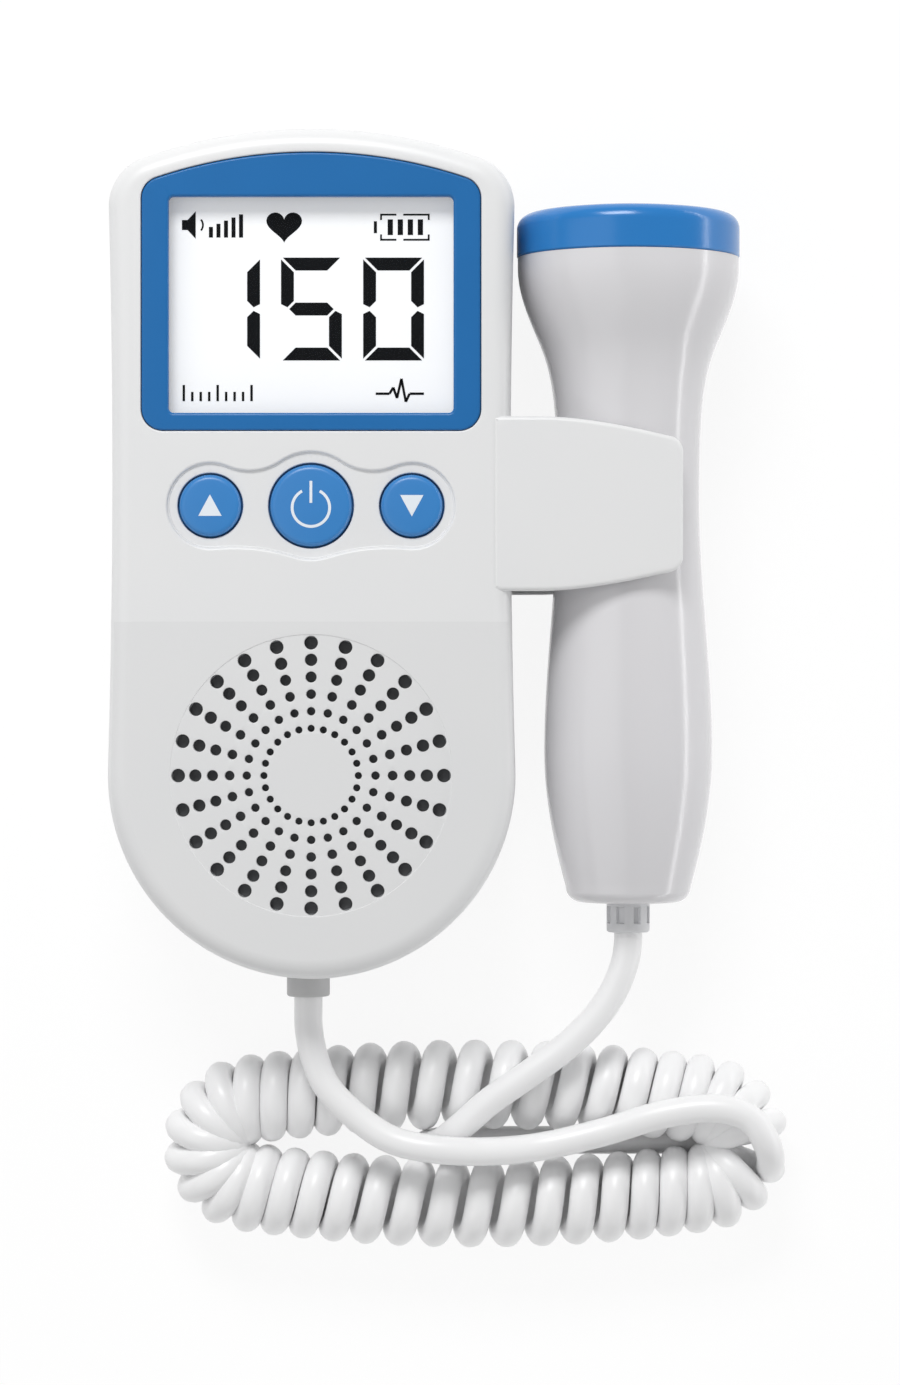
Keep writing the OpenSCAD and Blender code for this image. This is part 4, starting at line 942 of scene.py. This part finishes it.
addKey("upKey", "button_up", -keys["pitch"], keys["sideR"], triangleSign(1))
addKey("powerKey", "button_power", 0, keys["powerR"], powerSign)
addKey("downKey", "button_down", keys["pitch"], keys["sideR"], triangleSign(-1))
print("keys made")

# Cord sleeves, turned about Z and then laid along Y.
sleeve = {
    "r": 3.5, "unitL": 3.7, "probeL": 4.9, "bore": 2.34, "boreEdge": 0.2, "edge": 0.4, "sunk": 0.5,
    "unitAt": (-1, -67.75, 16), "probeAt": (50.95, -56, 18.15),
    "slotLow": 0.65, "slotHigh": 3.45, "slotDepth": 0.6, "slotHalf": 10,  # eight slots, degrees wide
}


def layAlong(bm, x, y, z):
    for v in bm.verts:
        v.co = Vector((v.co.x + x, y - v.co.z, v.co.y + z))


def sleeveProfile(length):
    r, bore, edge = sleeve["r"], sleeve["bore"], sleeve["boreEdge"]
    inner = [(bore, 0.8), (bore, length - edge), (bore + edge, length)]
    return inner + roundedProfile(r, length, sleeve["edge"], 4)


def slotted(r, z, a):
    between = abs(degrees(a) % 45 - 22.5) < sleeve["slotHalf"]
    return r - sleeve["slotDepth"] if between and r > 3 and sleeve["slotLow"] < z < sleeve["slotHigh"] else r


sleeveFoot = (sleeve["r"], -sleeve["sunk"])
bm = bmesh.new()
turned(bm, sleeveProfile(sleeve["unitL"]) + [sleeveFoot], count=48)
layAlong(bm, *sleeve["unitAt"])
makePiece("unitSleeve", bm, finishes["greyPvc"], unit, ("unit_gland",))

bm = bmesh.new()
slotRings = [(sleeve["r"], z) for z in (sleeve["slotHigh"], 3.3, 0.8, sleeve["slotLow"])]
turned(bm, sleeveProfile(sleeve["probeL"]) + slotRings + [sleeveFoot], count=144, shape=slotted)
layAlong(bm, *sleeve["probeAt"])
makePiece("probeSleeve", bm, finishes["paleGreyPvc"], "probe", ("probe_gland",))

# Probe: one turned form with a groove at the joint of its halves, and a domed face.
probe = {
    "x": 50.95, "z": 18.15, "tail": -56, "length": 112.6,
    "headR": 17.9, "neckR": 11.5, "gripR": 13.6, "tailR": 10.15, "tailRound": 2.6,
    "capH": 8.3, "capR": 18.05, "crown": 1.6, "capEdge": 2.4, "capStep": 0.25, "spigot": 0.4,
    "seam": 0.12, "boreR": 2.9, "rows": 110,
}
capLow = probe["length"] - probe["capH"]
stations = [  # height from the tail, radius and slope
    (probe["tailRound"], probe["tailR"], 0.28), (24.5, probe["gripR"], 0), (65, probe["neckR"], 0),
    (78, probe["neckR"] + 0.3, 0.06), (90.5, (probe["neckR"] + probe["headR"]) / 2 - 0.35, 0.42),
    (probe["length"] - 10.1, probe["headR"], 0.01), (capLow, probe["headR"], 0),
]


def probeRadius(s):
    for a, b in zip(stations, stations[1:]):
        if s <= b[0]:
            break
    run = b[0] - a[0]
    t = max(0, min(1, (s - a[0]) / run))
    return ((2 * t ** 3 - 3 * t ** 2 + 1) * a[1] + (t ** 3 - 2 * t ** 2 + t) * run * a[2]
            + (3 * t ** 2 - 2 * t ** 3) * b[1] + (t ** 3 - t ** 2) * run * b[2])


# The groove lies at both sides of the probe, where the halves meet.
def seamed(r, z, a):
    off = abs(((degrees(a) + 90) % 180) - 90)
    return r - probe["seam"] if off < 0.6 and r > 3 else r


def layProbe(bm):
    for v in bm.verts:
        v.co = Vector((v.co.x + probe["x"], v.co.z + probe["tail"], v.co.y + probe["z"]))


seamAngles = [radians(a + d) for a in (0, 180) for d in (-1.1, -0.4, 0.4, 1.1)]
evenAngles = [radians(4 + 4 * k) for k in range(90) if k % 45 != 44]
bm = bmesh.new()
low, flat = probe["tailRound"], probe["tailR"] - probe["tailRound"]
profile = [(probe["boreR"], 0)]
profile += [(flat + low * sin(a), low - low * cos(a)) for a in (radians(9 * k) for k in range(9))]
heights = [low + (capLow - low) * k / probe["rows"] for k in range(probe["rows"] + 1)]
profile += [(probeRadius(z), z) for z in heights]
profile += [(probe["headR"] - probe["capStep"], capLow + 0.02)]
turned(bm, profile, shape=seamed, angles=sorted(seamAngles + evenAngles))
layProbe(bm)
makePiece("probeBody", bm, finishes["polishedAbs"], "probe",
          ("probe_front_shell", "probe_rear_shell"))

bm = bmesh.new()
capR, capEdge = probe["capR"], probe["capEdge"]
spigotR, edgeR = probe["headR"] - probe["spigot"], capR - capEdge
domeR = (capR ** 2 + probe["crown"] ** 2) / (2 * probe["crown"])
crown = [edgeR * k / 14 for k in range(15)]
crownZ = [(r, probe["length"] - domeR + sqrt(domeR ** 2 - r * r)) for r in crown]
rimZ = crownZ[-1][1]
profile = [(spigotR, capLow - 0.5), (spigotR, capLow + 0.06), (capR - probe["capStep"], capLow + 0.06),
           (capR, capLow + 0.3), (capR, capLow + 3)]
rim = [radians(9 * k) for k in range(10)]
profile += [(edgeR + capEdge * cos(a), rimZ - capEdge + capEdge * sin(a)) for a in rim]
profile += crownZ[::-1]
turned(bm, profile, count=96)
layProbe(bm)
makePiece("probeFace", bm, finishes["faceAbs"], "probe", ("probe_face",))
print("probe made")

# Finishes of the part's own nodes that stay as they are.
nodeFinishes = {
    "display_lens": "clearAcrylic", "lcd_glass": "displayCell", "lcd_frame": "milkyAcrylic",
    "keypad_mat": "silicone", "dome_up": "silicone", "dome_power": "silicone", "dome_down": "silicone",
    "main_board": "solderMask", "probe_board": "solderMask", "board_parts": "chipEpoxy",
    "speaker_basket": "zincSteel", "speaker_cone": "conePaper", "speaker_magnet": "ferrite",
    "speaker_cloth": "speakerCloth",
    "battery_cells": "cellSleeve", "battery_contacts": "springSteel", "case_screws": "zincSteel",
    "probe_crystals": "piezoCeramic", "probe_backing": "castEpoxy",
    "front_shell": "satinAbs", "rear_shell": "satinAbs", "battery_door": "satinAbs",
    "display_bezel": "bluePaint",
    "button_up": "keyPolycarbonate", "button_power": "keyPolycarbonate", "button_down": "keyPolycarbonate",
    "unit_gland": "greyPvc", "probe_gland": "paleGreyPvc", "probe_front_shell": "polishedAbs",
    "probe_rear_shell": "polishedAbs", "probe_face": "faceAbs",
    "lead_main": "cordPvc", "coil_cord": "cordPvc", "lead_probe": "cordPvc",
}
for node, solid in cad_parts.items():
    for materialSlot in solid.material_slots:
        materialSlot.material = finishes[nodeFinishes[node]]

# Each silicone dome gets a mesh of its own.
for key in ("up", "power", "down"):
    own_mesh(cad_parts["dome_" + key])
print("own nodes finished")

# Light: a broad key from the top of the picture, a fill, a low one from its foot and a strip for the probe.
studio = {
    "world": 0.34,
    "key": {"place": (-90, 540, 560), "aim": (20, -10, 20), "size": (0.36, 0.26), "power": 3.5},
    "fill": {"place": (-380, -160, 560), "aim": (20, -60, 10), "size": (0.8, 0.7), "power": 1.1},
    "low": {"place": (60, -560, 300), "aim": (30, -110, 10), "size": (0.5, 0.2), "power": 0.25},
    "strip": {"place": (420, -40, 60), "aim": (50, -20, 20), "size": (1.2, 0.03), "power": 0.9},
    "floorShadow": 0.14,
    "floorGlow": 1.03,
    "floorReach": 0.003,
    "floorHalf": 3, "floorZ": -0.0003,  # metres
}

world = bpy.data.worlds.new("studio")
scene.world = world
world.use_nodes = True
tree = world.node_tree
tree.nodes.clear()
rays = addNode(tree, "LightPath").outputs
seen = addNode(tree, "Math", {0: rays["Is Camera Ray"], 1: rays["Is Transmission Ray"]},
               operation="MAXIMUM").outputs[0]
soft = addNode(tree, "Background", {"Color": (1, 1, 1, 1), "Strength": studio["world"]})
white = addNode(tree, "Background", {"Color": (1, 1, 1, 1), "Strength": 1.0})
both = addNode(tree, "MixShader", {0: seen, 1: soft.outputs[0], 2: white.outputs[0]})
addNode(tree, "OutputWorld", {"Surface": both.outputs[0]})

for name in ("key", "fill", "low", "strip"):
    lampSet = studio[name]
    lamp = bpy.data.lights.new(name, "AREA")
    lamp.shape = "RECTANGLE"
    lamp.size, lamp.size_y = lampSet["size"]
    lamp.energy = lampSet["power"]
    lampObject = bpy.data.objects.new(name, lamp)
    lampObject.location = inFrame(lampSet["place"])
    toAim = inFrame(lampSet["aim"]) - lampObject.location
    lampObject.rotation_euler = toAim.to_track_quat("-Z", "Y").to_euler()
    scene.collection.objects.link(lampObject)

# Matt white paper on the floor. It keeps the shadow and is seen as white.
floorPaper = bpy.data.materials.new("whitePaper")
floorPaper.use_nodes = True
tree = floorPaper.node_tree
tree.nodes.clear()
rays = addNode(tree, "LightPath").outputs
direct = addNode(tree, "Math", {0: rays["Is Camera Ray"], 1: 1 - studio["floorShadow"]},
                 operation="MULTIPLY").outputs[0]
seen = addNode(tree, "Math", {0: direct, 1: rays["Is Glossy Ray"]}, operation="MAXIMUM").outputs[0]
paper = addNode(tree, "BsdfPrincipled", {
    "Base Color": linear("#f4f4f4"), "Roughness": 0.9, "Specular IOR Level": 0.1})
glow = addNode(tree, "Emission", {"Color": (1, 1, 1, 1), "Strength": studio["floorGlow"]})
both = addNode(tree, "MixShader", {0: seen, 1: paper.outputs[0], 2: glow.outputs[0]})
# Clear from below, and for the short rays that leave what rests on it, so that the undersides are lit.
short = addNode(tree, "Math", {0: rays["Ray Length"], 1: studio["floorReach"]},
                operation="LESS_THAN").outputs[0]
below = addNode(tree, "NewGeometry").outputs["Backfacing"]
either = addNode(tree, "Math", {0: below, 1: short}, operation="MAXIMUM").outputs[0]
clear = addNode(tree, "BsdfTransparent")
sheet = addNode(tree, "MixShader", {0: either, 1: both.outputs[0], 2: clear.outputs[0]})
addNode(tree, "OutputMaterial", {"Surface": sheet.outputs[0]})
floorMesh = bpy.data.meshes.new("floor")
half, z = studio["floorHalf"], studio["floorZ"]
floorCorners = [(-half, -half, z), (half, -half, z), (half, half, z), (-half, half, z)]
floorMesh.from_pydata(floorCorners, [], [(0, 1, 2, 3)])
floorMesh.materials.append(floorPaper)
floor = bpy.data.objects.new("floor", floorMesh)
scene.collection.objects.link(floor)

scene.view_settings.view_transform = "Standard"
print("studio made")
